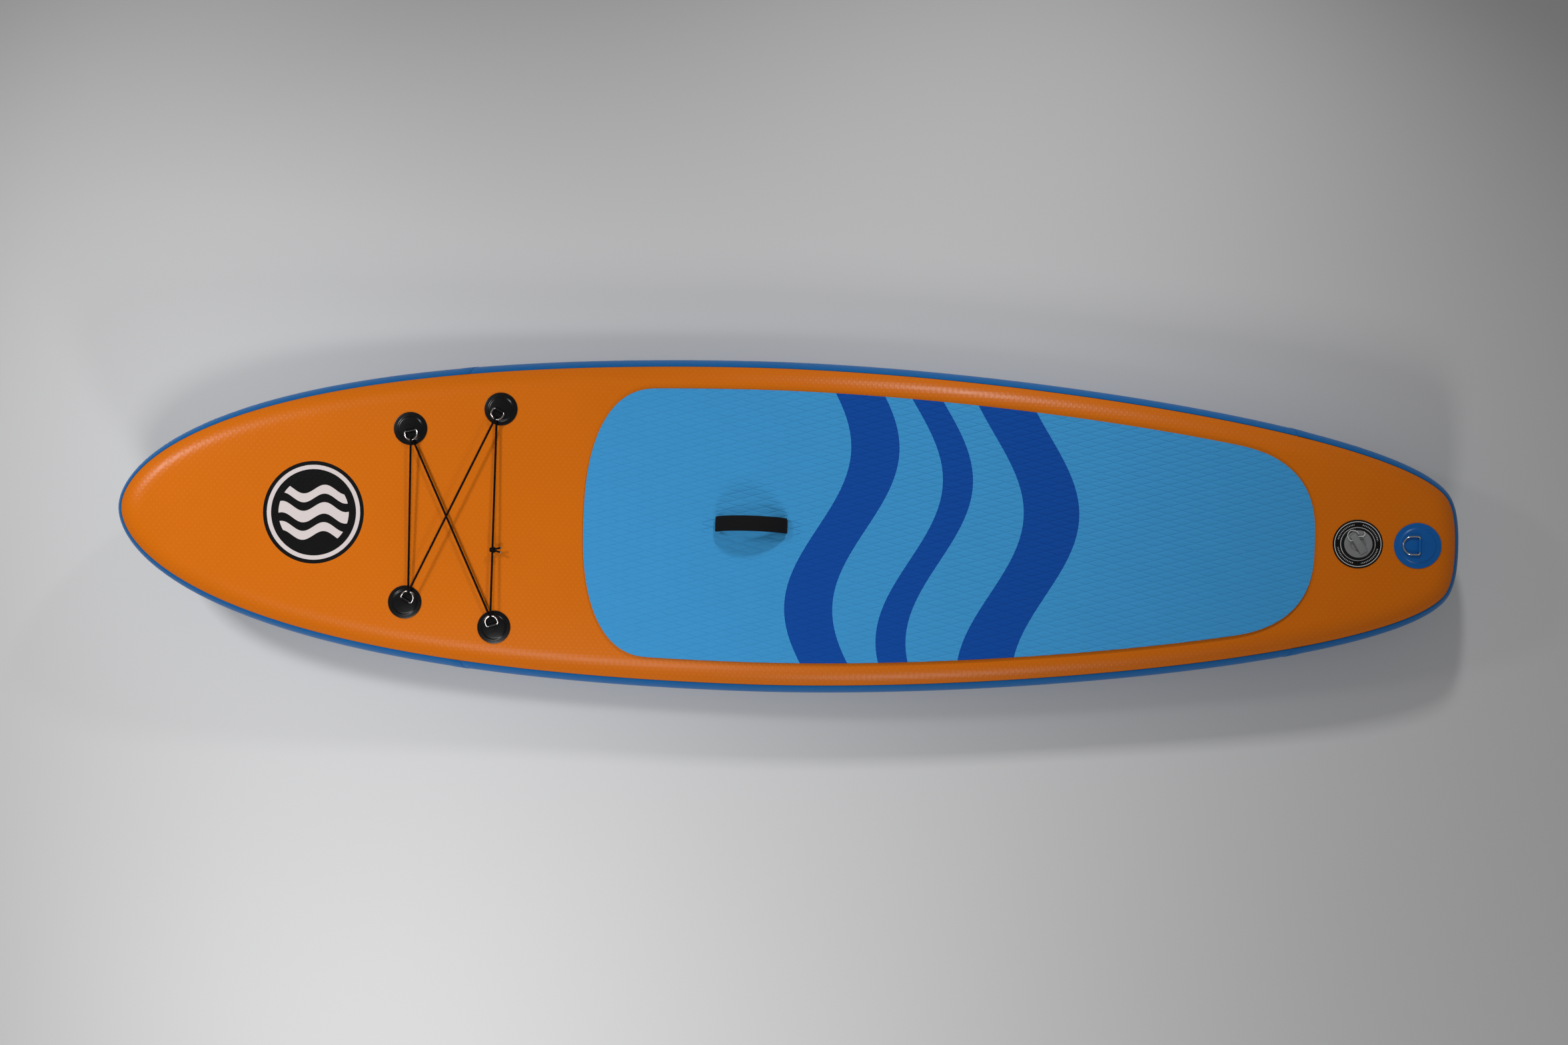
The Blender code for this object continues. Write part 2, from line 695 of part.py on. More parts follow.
handle = empty("handle_seat", (NOSE_X + HANDLE_FROM_NOSE, 0.0, THICKNESS))
half_grip = GRIP_LENGTH / 2
foot_height = GAP + WEBBING_THICKNESS / 2
half_strap = [(HANDLE_FOOT_END, foot_height), ((HANDLE_FOOT_START + HANDLE_FOOT_END) / 2, foot_height),
              (HANDLE_FOOT_START, foot_height), (half_grip + 0.0035, 0.0034), (half_grip + 0.0012, 0.0085),
              (half_grip - 0.0015, 0.0140), (half_grip * 0.82, HANDLE_HEIGHT * 0.58),
              (half_grip * 0.54, HANDLE_HEIGHT * 0.84), (half_grip * 0.26, HANDLE_HEIGHT * 0.97)]
strap_points = [(-along, HANDLE_LEAN * up / HANDLE_HEIGHT, up) for along, up in half_strap]
strap_points.append((0.0, HANDLE_LEAN, HANDLE_HEIGHT))
strap_points += [(-x, y, up) for x, y, up in reversed(strap_points[:-1])]
strap_path = smooth_path(strap_points, 33)


def strap_sections(path, width, thickness, corner):
    """Rectangular sections with cut corners, square to a path in the XZ plane."""
    sections = []
    for i, point in enumerate(path):
        ahead = path[min(i + 1, len(path) - 1)] - path[max(i - 1, 0)]
        ahead.normalize()
        up = Vector((-ahead.z, 0.0, ahead.x))
        half = width / 2
        deep = thickness / 2
        outline = [(-half, corner - deep), (corner - half, -deep), (half - corner, -deep), (half, corner - deep),
                   (half, deep - corner), (half - corner, deep), (corner - half, deep), (-half, deep - corner)]
        if corner == 0.0:
            outline = [(-half, -deep), (half, -deep), (half, deep), (-half, deep)]
        sections.append([point + Vector((0.0, across, 0.0)) + up * high for across, high in outline])
    return sections


loft("handle_webbing", strap_sections(strap_path, WEBBING_WIDTH, WEBBING_THICKNESS, 0.0), (BLACK, 0.8), handle)
grip_path = [point for point in strap_path if abs(point.x) <= half_grip]
sleeve("handle_grip", strap_sections(grip_path, GRIP_WIDTH, GRIP_THICKNESS, GRIP_CORNER),
       strap_sections(grip_path, WEBBING_WIDTH + 2 * GRIP_CLEARANCE, WEBBING_THICKNESS + 2 * GRIP_CLEARANCE,
                      GRIP_CLEARANCE), (BLACK, 0.85), handle)
for label, way in (("front", -1), ("rear", 1)):
    near = HANDLE_WINDOW_INNER * way
    patch_near = (HANDLE_FOOT_START + 0.0015) * way
    far = (HANDLE_FOOT_END + 0.002) * way
    half = HANDLE_PATCH_WIDTH / 2
    window = box(f"cut_handle_window_{label}", (min(near, far + GAP * way), -half - GAP, -0.01),
                 (max(near, far + GAP * way), half + GAP, 0.02), (BLACK, 0.5), handle)
    boolean(pad, window, "DIFFERENCE")
    box(f"handle_patch_{label}", (min(patch_near, far), -half, 2 * GAP + WEBBING_THICKNESS),
        (max(patch_near, far), half, PAD_TOP + 2 * GAP), (PAD_BLUE, 0.75), handle)


# D-ring patches

def deck_seat(name, x, y, radius):
    """An empty on the deck, turned to the deck's slope under a round piece of that radius."""
    fore = x - radius
    aft = min(x + radius, FLAT_X[-1])
    slope = (deck_height(aft) - deck_height(fore)) / (aft - fore)
    return empty(name, (x, y, deck_height(fore) + slope * radius), (0.0, -math.atan(slope), 0.0))


def ring_path(inner_width, depth):
    """Middle line of a D-ring lying in XY, with its bar along Y and its bow towards +X."""
    half = inner_width / 2 + RING_WIRE_RADIUS
    corner = 2 * RING_WIRE_RADIUS
    points = [(0.0, -half + corner + 0.001), (0.0, half - corner - 0.001)]
    for step in range(1, 3):
        angle = math.pi / 2 * step / 3
        points.append((corner * (1 - math.cos(angle)), half - corner * (1 - math.sin(angle))))
    points.append((corner, half))
    straight = max(depth - half, corner + 0.001)
    for step in range(11):
        angle = math.pi / 2 - math.pi * step / 10
        points.append((straight + (depth - straight) * math.cos(angle), half * math.sin(angle)))
    points.append((corner, -half))
    for step in (2, 1):
        angle = math.pi / 2 * step / 3
        points.append((corner * (1 - math.cos(angle)), -half + corner * (1 - math.sin(angle))))
    return [Vector((x, y, 0.0)) for x, y in points]


def d_ring(name, inner_width, depth, parent):
    """A welded wire D-ring, closed all round."""
    path = ring_path(inner_width, depth)
    sections = []
    for i, point in enumerate(path):
        ahead = (path[(i + 1) % len(path)] - path[i - 1]).normalized()
        out = Vector((ahead.y, -ahead.x, 0.0))
        sections.append([point + RING_WIRE_RADIUS * (out * math.cos(angle) + Vector((0, 0, math.sin(angle))))
                         for angle in (math.tau * (k + 0.5) / 8 for k in range(8))])
    return loft(name, sections, (STEEL, 0.18, 1.0), parent, closed=True)


COVER_TOP = 3 * GAP + BACKING_WALL + TAB_WALL + PATCH_WALL
TAB_BORE = RING_WIRE_RADIUS + RING_BORE_CLEARANCE
BAR_HEIGHT = COVER_TOP + GAP + TAB_BORE + TAB_WALL


def ring_patch(stem, x, y, heading, radius, step_radius, ring_width, ring_depth, tab_width, bar_offset,
               tilt, colour):
    """A round patch: backing disc, cover with a raised middle, webbing tab and D-ring."""
    seat = deck_seat(stem + "_seat", x, y, radius)
    backing_top = GAP + BACKING_WALL
    revolve(stem + "_backing", [(0.0, GAP), (step_radius - STEP_SLOPE - 2 * GAP, GAP),
                                (step_radius - STEP_SLOPE - 2 * GAP, backing_top), (0.0, backing_top)],
            PATCH_SEGMENTS, (BLACK, 0.6), seat)
    ceiling = backing_top + 2 * GAP + TAB_WALL
    cover = revolve(stem + "_cover",
                    [(0.0, ceiling), (step_radius - STEP_SLOPE - GAP, ceiling), (step_radius - STEP_SLOPE, GAP),
                     (radius, GAP), (radius, GAP + PATCH_WALL), (step_radius + STEP_SLOPE / 2, GAP + PATCH_WALL),
                     (step_radius - STEP_SLOPE / 2, COVER_TOP), (0.0, COVER_TOP)],
                    PATCH_SEGMENTS, (colour, 0.45), seat)
    turned = empty(stem + "_heading", (0.0, 0.0, 0.0), (0.0, 0.0, heading))
    turned.parent = seat
    neck = 1.1 * TAB_WALL
    slot = box("cut_" + stem + "_slot",
               (bar_offset - neck - SLOT_CLEARANCE, -tab_width / 2 - SLOT_CLEARANCE, ceiling - 0.0005),
               (bar_offset + neck + SLOT_CLEARANCE, tab_width / 2 + SLOT_CLEARANCE, COVER_TOP + 0.001),
               (BLACK, 0.5), turned)
    boolean(cover, slot, "DIFFERENCE")
    foot = backing_top + GAP
    loop_radius = TAB_BORE + TAB_WALL
    open_angle = math.asin(neck / loop_radius)
    outline = [(-TAB_FOOT_LENGTH, foot), (neck, foot)]
    turns = 11
    for step in range(turns + 1):
        angle = -math.pi / 2 + open_angle + (math.tau - 2 * open_angle) * step / turns
        outline.append((loop_radius * math.cos(angle), BAR_HEIGHT + loop_radius * math.sin(angle)))
    outline += [(-neck, foot + TAB_WALL), (-TAB_FOOT_LENGTH, foot + TAB_WALL)]
    bore = circle(TAB_BORE, 12, (0.0, BAR_HEIGHT), math.pi / 12)
    prism(stem + "_tab", [outline, bore], -tab_width / 2, tab_width / 2,
          lambda a, b, c: (a + bar_offset, c, b), (colour, 0.6), turned)
    ring = d_ring(stem + "_ring", ring_width, ring_depth, turned)
    ring.location = (bar_offset, 0.0, BAR_HEIGHT)
    ring.rotation_euler = (0.0, -tilt, 0.0)
    return ring


front_x = NOSE_X + CORD_FRONT_FROM_NOSE
rear_x = NOSE_X + CORD_REAR_FROM_NOSE
cord_rings = {}
for stem, x, y, heading in (
        ("front_starboard", front_x, CORD_FRONT_HALF_SPAN, FRONT_STARBOARD_HEADING),
        ("rear_starboard", rear_x, CORD_REAR_HALF_SPAN, REAR_STARBOARD_HEADING),
        ("front_port", front_x, -CORD_FRONT_HALF_SPAN, FRONT_PORT_HEADING),
        ("rear_port", rear_x, -CORD_REAR_HALF_SPAN, REAR_PORT_HEADING)):
    cord_rings[stem] = ring_patch(stem, x, y, heading, CORD_PATCH_RADIUS, CORD_STEP_RADIUS,
                                  CORD_RING_INNER_WIDTH, CORD_RING_DEPTH, CORD_TAB_WIDTH, CORD_BAR_OFFSET,
                                  CORD_RING_TILT, BLACK)
leash_rest = math.asin((BAR_HEIGHT - COVER_TOP - RING_WIRE_RADIUS - GAP) / LEASH_RING_DEPTH)
ring_patch("leash", TAIL_X - LEASH_FROM_TAIL, 0.0, math.pi, LEASH_PATCH_RADIUS, LEASH_STEP_RADIUS,
           LEASH_RING_INNER_WIDTH, LEASH_RING_DEPTH, LEASH_TAB_WIDTH, LEASH_BAR_OFFSET, -leash_rest, DEEP_BLUE)


# Shock cord: one length, knotted on the strand across the rear pair of rings

bpy.context.view_layer.update()
WRAP = RING_WIRE_RADIUS + GAP + CORD_RADIUS


def ring_frame(stem):
    """A ring's middle of the bow's arc and its three directions."""
    place = cord_rings[stem].matrix_world
    bow_radius = CORD_RING_INNER_WIDTH / 2 + RING_WIRE_RADIUS
    centre = place @ Vector((CORD_RING_DEPTH - bow_radius, 0.0, 0.0))
    return centre, bow_radius, [place.to_3x3() @ Vector(axis) for axis in ((1, 0, 0), (0, 1, 0), (0, 0, 1))]


def cord_bend(stem, before, after, enters_above):
    """Points of the cord's half turn round a ring's bow, on its way between two other rings."""
    centre, bow_radius, (ahead, across, _) = ring_frame(stem)
    ends = [(ring_frame(other)[0] - centre).normalized() for other in (before, after)]
    pull = (ends[0] + ends[1]).normalized()
    turn = math.atan2(pull.dot(across), pull.dot(ahead))
    wire = centre + bow_radius * (math.cos(turn) * ahead + math.sin(turn) * across)
    tangent = math.cos(turn) * across - math.sin(turn) * ahead
    out = (pull - pull.dot(tangent) * tangent).normalized()
    above = out.cross(tangent)
    if above.z < 0.0:
        above = -above
    side = 1.0 if enters_above else -1.0
    drift = side * ends[0].dot(tangent)
    points = []
    for step in range(CORD_BEND_STEPS + 1):
        angle = side * (math.pi / 2 - math.pi * step / CORD_BEND_STEPS)
        points.append(wire + WRAP * (math.sin(angle) * above - math.cos(angle) * out)
                      + WRAP * drift * angle * tangent)
    return points


bends = [cord_bend("rear_port", "rear_starboard", "front_starboard", True),
         cord_bend("front_starboard", "rear_port", "front_port", False),
         cord_bend("front_port", "front_starboard", "rear_starboard", False),
         cord_bend("rear_starboard", "front_port", "rear_port", True)]
strand_start = bends[-1][-1]
strand_end = bends[0][0]
strand = (strand_end - strand_start).normalized()
knot_middle = strand_start + strand * (KNOT_Y - strand_start.y) / strand.y
cord_points = [knot_middle + strand * (KNOT_HALF_LENGTH + GAP)]
for bend in bends:
    for step in range(1, CORD_STRAND_STEPS):
        cord_points.append(cord_points[-1].lerp(bend[0], 1.0 / (CORD_STRAND_STEPS + 1 - step)))
    cord_points += bend
last_end = knot_middle - strand * (KNOT_HALF_LENGTH + GAP)
for step in range(1, CORD_STRAND_STEPS + 1):
    cord_points.append(cord_points[-1].lerp(last_end, 1.0 / (CORD_STRAND_STEPS + 1 - step)))
cord("bungee_cord", cord_points, CORD_RADIUS, 2, (BLACK, 0.8))


def knot():
    """A round lump of wraps on the strand, with the cord's two ends leaving towards the tail."""
    seat = empty("knot_seat", knot_middle)
    seat.rotation_euler = strand.to_track_quat("Z", "X").to_euler()
    half = KNOT_HALF_LENGTH
    lump = revolve("bungee_knot",
                   [(0.0, -half), (0.55 * KNOT_RADIUS, -0.96 * half), (0.9 * KNOT_RADIUS, -0.6 * half),
                    (0.96 * KNOT_RADIUS, -0.33 * half), (0.84 * KNOT_RADIUS, 0.0), (0.96 * KNOT_RADIUS, 0.33 * half),
                    (0.9 * KNOT_RADIUS, 0.6 * half), (0.55 * KNOT_RADIUS, 0.96 * half), (0.0, half)],
                   14, (BLACK, 0.8), seat)
    for label, side in (("1", 1), ("2", -1)):
        root = knot_middle + Vector((0.001, side * KNOT_TAIL_SPREAD, 0.0))
        course = Vector((math.cos(KNOT_TAIL_SPLAY), side * math.sin(KNOT_TAIL_SPLAY), -0.02))
        sections = []
        for share in (0.0, 1.0):
            middle = root + course * KNOT_TAIL_LENGTH * share
            sections.append([middle + CORD_RADIUS * Vector((0.0, math.cos(a), math.sin(a)))
                             for a in (math.tau * k / 8 for k in range(8))])
        tail = loft("join_knot_tail_" + label, sections, (BLACK, 0.8))
        boolean(lump, tail, "UNION")


knot()


# Inflation valve

valve = deck_seat("valve_seat", TAIL_X - VALVE_FROM_TAIL, 0.0, LABEL_RADIUS)
label_top = GAP + LABEL_THICKNESS
flange_bottom = label_top + GAP
neck_hole = NECK_RADIUS + NECK_CLEARANCE
well_radius = CAP_RADIUS + CAP_CLEARANCE
hole = revolve("cut_valve_hole", [(0.0, -0.008), (neck_hole, -0.008), (neck_hole, 0.006), (0.0, 0.006)],
               VALVE_SEGMENTS, (BLACK, 0.5), valve)
boolean(deck, hole, "DIFFERENCE")
revolve("valve_label", [(neck_hole, GAP), (LABEL_RADIUS, GAP), (LABEL_RADIUS, label_top), (neck_hole, label_top)],
        48, (BLACK, 0.45), valve)
revolve("valve_body",
        [(NECK_RADIUS, -NECK_DEPTH), (NECK_RADIUS, flange_bottom), (FLANGE_RADIUS, flange_bottom),
         (FLANGE_RADIUS, FLANGE_HEIGHT - FLANGE_CHAMFER), (FLANGE_RADIUS - FLANGE_CHAMFER, FLANGE_HEIGHT),
         (well_radius, FLANGE_HEIGHT), (well_radius, WELL_FLOOR), (BORE_RADIUS, WELL_FLOOR),
         (BORE_RADIUS, -BORE_DEPTH), (MOUTH_RADIUS, -BORE_DEPTH), (MOUTH_RADIUS, -SEAT_DEPTH),
         (OUTLET_RADIUS, -SEAT_DEPTH), (OUTLET_RADIUS, -NECK_DEPTH)],
        VALVE_SEGMENTS, (BLACK, 0.4), valve)
nut_top = -SKIN_WALL - NUT_SEAT_CLEARANCE
revolve("valve_nut", [(neck_hole, nut_top - NUT_HEIGHT), (NUT_RADIUS, nut_top - NUT_HEIGHT),
                      (NUT_RADIUS, nut_top), (neck_hole, nut_top)], VALVE_SEGMENTS, (BLACK, 0.5), valve)


def stem_guide():
    """The spoked ring in the bore that the stem slides in."""
    outer = BORE_RADIUS - GAP
    loops = [circle(outer, VALVE_SEGMENTS), circle(STEM_RADIUS + STEM_CLEARANCE, 12)]
    for spoke in range(3):
        start = math.tau * spoke / 3 + GUIDE_SPOKE_HALF_ANGLE
        stop = math.tau * (spoke + 1) / 3 - GUIDE_SPOKE_HALF_ANGLE
        far = [start + (stop - start) * k / 6 for k in range(7)]
        near = [start + (stop - start) * (0.2 + 0.6 * k / 4) for k in range(4, -1, -1)]
        loops.append([(math.cos(a) * (outer - GUIDE_RIM), math.sin(a) * (outer - GUIDE_RIM)) for a in far]
                     + [(math.cos(a) * GUIDE_HUB_RADIUS, math.sin(a) * GUIDE_HUB_RADIUS) for a in near])
    floor = -BORE_DEPTH + GAP
    prism("valve_stem_guide", loops, floor, floor + GUIDE_THICKNESS, lambda a, b, c: (a, b, c),
          (GREY, 0.5), valve)
    return floor + GUIDE_THICKNESS


guide_top = stem_guide()
stem_bottom = -SEAT_DEPTH - 2 * GAP - SEAL_THICKNESS - STEM_HEAD_THICKNESS
head_top = stem_bottom + STEM_HEAD_THICKNESS
button_bottom = BUTTON_TOP - BUTTON_THICKNESS
revolve("valve_stem", [(0.0, stem_bottom), (STEM_HEAD_RADIUS, stem_bottom), (STEM_HEAD_RADIUS, head_top),
                       (STEM_RADIUS, head_top), (STEM_RADIUS, button_bottom), (BUTTON_RADIUS, button_bottom),
                       (BUTTON_RADIUS, BUTTON_TOP), (0.0, BUTTON_TOP)], 16, (GREY, 0.45), valve)
seal_bottom = head_top + GAP
revolve("valve_stem_seal", [(STEM_RADIUS + GAP, seal_bottom), (SEAL_RADIUS, seal_bottom),
                            (SEAL_RADIUS, seal_bottom + SEAL_THICKNESS),
                            (STEM_RADIUS + GAP, seal_bottom + SEAL_THICKNESS)], 24, (BLACK, 0.7), valve)
spring_low = guide_top + GAP + SPRING_WIRE_RADIUS
spring_high = button_bottom - GAP - SPRING_WIRE_RADIUS
spring_points = []
for step in range(SPRING_TURNS * SPRING_STEPS_PER_TURN + 1):
    share = step / (SPRING_TURNS * SPRING_STEPS_PER_TURN)
    angle = math.tau * SPRING_TURNS * share
    spring_points.append((SPRING_RADIUS * math.cos(angle), SPRING_RADIUS * math.sin(angle),
                          spring_low + (spring_high - spring_low) * share))
cord("valve_spring", spring_points, SPRING_WIRE_RADIUS, 1, (STEEL, 0.3, 1.0), valve)

# The cap: a plug with its seal ring, a dished top with a recess, and the bar that spans it
cap_base = WELL_FLOOR + GAP
groove_half = SEAL_RING_WIRE + GAP
seal_middle = BORE_RADIUS - GAP - SEAL_RING_WIRE
groove_radius = seal_middle - SEAL_RING_WIRE - GAP
cap = revolve("valve_cap",
              [(0.0, CAP_CUP_CEILING), (PLUG_RADIUS - PLUG_WALL, CAP_CUP_CEILING),
               (PLUG_RADIUS - PLUG_WALL, -PLUG_DEPTH), (PLUG_RADIUS, -PLUG_DEPTH),
               (PLUG_RADIUS, SEAL_RING_HEIGHT - groove_half), (groove_radius, SEAL_RING_HEIGHT - groove_half),
               (groove_radius, SEAL_RING_HEIGHT + groove_half), (PLUG_RADIUS, SEAL_RING_HEIGHT + groove_half),
               (PLUG_RADIUS, cap_base), (CAP_RADIUS, cap_base), (CAP_RADIUS, CAP_EDGE_HEIGHT),
               (CAP_TOP_RADIUS, CAP_TOP_HEIGHT), (CAP_RECESS_RADIUS + 0.001, CAP_TOP_HEIGHT - 0.0004),
               (CAP_RECESS_RADIUS - 0.0005, CAP_RECESS_FLOOR), (0.0, CAP_RECESS_FLOOR)],
              VALVE_SEGMENTS, (GREY, 0.45), valve)
bar_sections = []
for share in (-1.0, -0.96, -0.6, -0.25, 0.25, 0.6, 0.96, 1.0):
    along = share * BAR_LENGTH / 2
    half = (BAR_NARROW_WIDTH + (BAR_WIDE_WIDTH - BAR_NARROW_WIDTH) * (share + 1.0) / 2) / 2
    top = BAR_TOP - BAR_END_DROP * share ** 2 - (BAR_CHAMFER if abs(share) == 1.0 else 0.0)
    root = (CAP_CUP_CEILING + CAP_RECESS_FLOOR) / 2
    bar_sections.append([(along, -half, root), (along, half, root), (along, half, top - BAR_CHAMFER),
                         (along, half - BAR_CHAMFER, top), (along, BAR_CHAMFER - half, top),
                         (along, -half, top - BAR_CHAMFER)])
bar = loft("join_cap_bar", bar_sections, (GREY, 0.45), valve)
bar.rotation_euler = (0.0, 0.0, BAR_HEADING)
boolean(cap, bar, "UNION")
bar_hole = revolve("cut_cap_bar_hole", [(0.0, -0.014), (BAR_HOLE_RADIUS, -0.014), (BAR_HOLE_RADIUS, 0.014),
                                        (0.0, 0.014)], 12, (GREY, 0.5), valve)
bar_way = Vector((math.cos(BAR_HEADING), math.sin(BAR_HEADING), 0.0))
bar_side = Vector((-bar_way.y, bar_way.x, 0.0))
bar_hole.location = bar_way * BAR_HOLE_ALONG + Vector((0.0, 0.0, BAR_HOLE_HEIGHT))
bar_hole.rotation_euler = bar_side.to_track_quat("Z", "X").to_euler()
boolean(cap, bar_hole, "DIFFERENCE")
seal_turns = circle(SEAL_RING_WIRE, 6, (seal_middle, SEAL_RING_HEIGHT))
revolve("valve_cap_seal", seal_turns, 24, (BLACK, 0.6), valve)

# The tether, as (along the bar, across it, height): hook, hole in the bar, loop round its end
rest = CAP_TOP_HEIGHT + GAP + TETHER_RADIUS
tether_course = [(-0.0190, 0.0255, rest), (-0.0130, 0.0245, rest + 0.0012), (-0.0102, 0.0185, rest + 0.0016),
                 (-0.0130, 0.0130, BAR_HOLE_HEIGHT), (BAR_HOLE_ALONG, 0.0085, BAR_HOLE_HEIGHT),
                 (BAR_HOLE_ALONG, 0.0, BAR_HOLE_HEIGHT), (BAR_HOLE_ALONG, -0.0085, BAR_HOLE_HEIGHT),
                 (-0.0170, -0.0120, BAR_HOLE_HEIGHT),
                 (-0.0240, -0.0128, BAR_HOLE_HEIGHT), (-0.0320, -0.0098, BAR_HOLE_HEIGHT + 0.0004),
                 (-0.0362, -0.0010, BAR_HOLE_HEIGHT + 0.0006), (-0.0330, 0.0075, BAR_HOLE_HEIGHT + 0.0004),
                 (-0.0265, 0.0120, BAR_HOLE_HEIGHT), (-0.0205, 0.0128, rest)]
tether_knots = [bar_way * along + bar_side * across + Vector((0.0, 0.0, up)) for along, across, up in tether_course]
cord("valve_tether", smooth_path(tether_knots, 32), TETHER_RADIUS, 2, (PALE, 0.35), valve)


# Fin box under the tail

fin_rear = TAIL_X - FIN_BOX_REAR_FROM_TAIL
fin_front = fin_rear - FIN_BOX_LENGTH
fin_middle = (fin_front + fin_rear) / 2


def fin_places(start, stop, extra):
    """Stops along X between two ends, with every fold of the board's bottom between them."""
    return sorted([x for x in FLAT_X if start + 0.001 < x < stop - 0.001] + extra)


patch_half = FIN_PATCH_LENGTH / 2
patch_ends = [patch_half * math.sin(math.pi / 2 * step / 4) for step in range(-4, 5)]
patch_sections = []
for x in fin_places(fin_middle - patch_half, fin_middle + patch_half, [fin_middle + end for end in patch_ends]):
    share = min(1.0, abs(x - fin_middle) / patch_half)
    half = max(0.25, (1.0 - share ** FIN_PATCH_POWER) ** (1.0 / FIN_PATCH_POWER)) * FIN_PATCH_WIDTH / 2
    high = bottom_height(x) - GAP
    patch_sections.append([(x, -half, high - FIN_PATCH_THICKNESS), (x, half, high - FIN_PATCH_THICKNESS),
                           (x, half, high), (x, -half, high)])
loft("fin_box_patch", patch_sections, (RAIL_BLUE, 0.5))
box_sections = []
for x in fin_places(fin_front, fin_rear, [fin_front, fin_front + FIN_BOX_RAMP, fin_rear]):
    share = min(1.0, FIN_BOX_NOSE_SHARE + (1.0 - FIN_BOX_NOSE_SHARE) * (x - fin_front) / FIN_BOX_RAMP)
    base = FIN_BOX_BASE_WIDTH / 2
    wall = FIN_BOX_CHANNEL_WIDTH / 2
    deep = FIN_BOX_HEIGHT * share
    lip = deep - FIN_SLOT_LIP * share
    outline = [(base, 0.0), (base, FIN_BOX_BASE_THICKNESS * 0.5), (wall, FIN_BOX_BASE_THICKNESS), (wall, deep),
               (FIN_SLOT_WIDTH / 2, deep), (FIN_SLOT_WIDTH / 2, lip), (FIN_SLOT_INNER_WIDTH / 2, lip),
               (FIN_SLOT_INNER_WIDTH / 2, FIN_BOX_BASE_THICKNESS)]
    top = bottom_height(x) - 2 * GAP - FIN_PATCH_THICKNESS
    loop = [(x, half, top - down) for half, down in outline]
    loop += [(x, -half, top - down) for half, down in reversed(outline)]
    box_sections.append(loop)


def fin_box():
    """Base plate and channel with an undercut slot, which opens downwards and at both ends."""
    def fill(shape):
        rows = [[shape.verts.new(point) for point in section] for section in box_sections]
        grid_faces(shape, rows, False, True)
        for row, section in ((rows[0], box_sections[0]), (rows[-1], box_sections[-1])):
            flat = [[Vector((y, z, 0.0)) for _, y, z in section]]
            for triangle in tessellate_polygon(flat):
                shape.faces.new([row[i] for i in triangle])
    return add_object("fin_box", fill, (BLACK, 0.45))


fin_box()
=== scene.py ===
# %% [markdown]
# # An inflatable stand-up paddle board
#
# This lesson dresses a packed paddle board in Blender. The board is a flat air chamber: two coated skins
# held 150 mm apart by threads, closed by a round rail, with a foam pad glued on the deck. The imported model
# gives every part's place, and this script gives the parts their smooth shapes, finishes and light.

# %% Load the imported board
import json
import math

import bpy
import numpy as np
from mathutils import Matrix, Vector


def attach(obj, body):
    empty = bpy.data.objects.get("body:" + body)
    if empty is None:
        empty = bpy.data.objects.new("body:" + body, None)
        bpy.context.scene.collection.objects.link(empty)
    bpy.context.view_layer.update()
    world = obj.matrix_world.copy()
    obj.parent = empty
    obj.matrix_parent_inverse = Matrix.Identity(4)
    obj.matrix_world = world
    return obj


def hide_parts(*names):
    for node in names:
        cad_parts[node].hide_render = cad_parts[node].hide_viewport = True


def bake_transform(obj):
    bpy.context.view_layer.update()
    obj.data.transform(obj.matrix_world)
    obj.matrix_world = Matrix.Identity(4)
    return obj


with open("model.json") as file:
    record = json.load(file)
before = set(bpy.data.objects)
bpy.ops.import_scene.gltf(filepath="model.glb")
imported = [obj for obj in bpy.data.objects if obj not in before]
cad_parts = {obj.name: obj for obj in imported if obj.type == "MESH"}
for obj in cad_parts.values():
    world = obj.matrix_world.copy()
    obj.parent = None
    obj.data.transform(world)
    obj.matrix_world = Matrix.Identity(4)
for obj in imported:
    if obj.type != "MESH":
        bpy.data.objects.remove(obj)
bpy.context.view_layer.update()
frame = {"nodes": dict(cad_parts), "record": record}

nodes = frame["nodes"]
joints = {joint["name"]: joint for joint in frame["record"]["behaviour"]["joints"]}
print("nodes:", len(nodes), "joints:", len(joints))

# %% [markdown]
# ## The camera
#
# The picture looks straight down on the deck from about three and a half metres. Its place was fitted to
# the board's outline, so it is set by numbers: a position, and the three rows that turn world directions
# into the camera's. Blender wants the inverse of that turn, which for a rotation is its transpose.

# %% Camera
CAMERA_PLACE = Vector((0.151, -0.031, 3.6765))
CAMERA_ROWS = Matrix(((0.99857, 0.03075, -0.04373),
                      (-0.03021, 0.99946, 0.01301),
                      (0.04411, -0.01167, 0.99896)))

camera_data = bpy.data.cameras.new("deck_camera")
camera_data.sensor_width = 36.0
camera_data.lens = 33.57
camera = bpy.data.objects.new("deck_camera", camera_data)
camera.matrix_world = Matrix.Translation(CAMERA_PLACE) @ CAMERA_ROWS.transposed().to_4x4()
bpy.context.scene.collection.objects.link(camera)
bpy.context.scene.camera = camera
print("camera height:", round(CAMERA_PLACE.z, 3))

# %% [markdown]
# ## Arithmetic with shader nodes
#
# A pattern such as a weave or a printed ring is a formula of the place on the surface. Wiring such a
# formula by hand takes dozens of Math nodes. The small class below wraps a socket, so that plus, minus
# and the rest each add a Math node, and a formula can be written as it would be on paper.


# %% A socket that can be used in sums
def connect(tree, value, slot):
    """Link a wire to an input socket, or set the socket to a plain value."""
    if isinstance(value, Wire):
        tree.links.new(value.socket, slot)
    else:
        slot.default_value = value


def math_method(operation):
    """A method that adds one Math node."""
    return lambda wire, *others: wire.math(operation, *others)


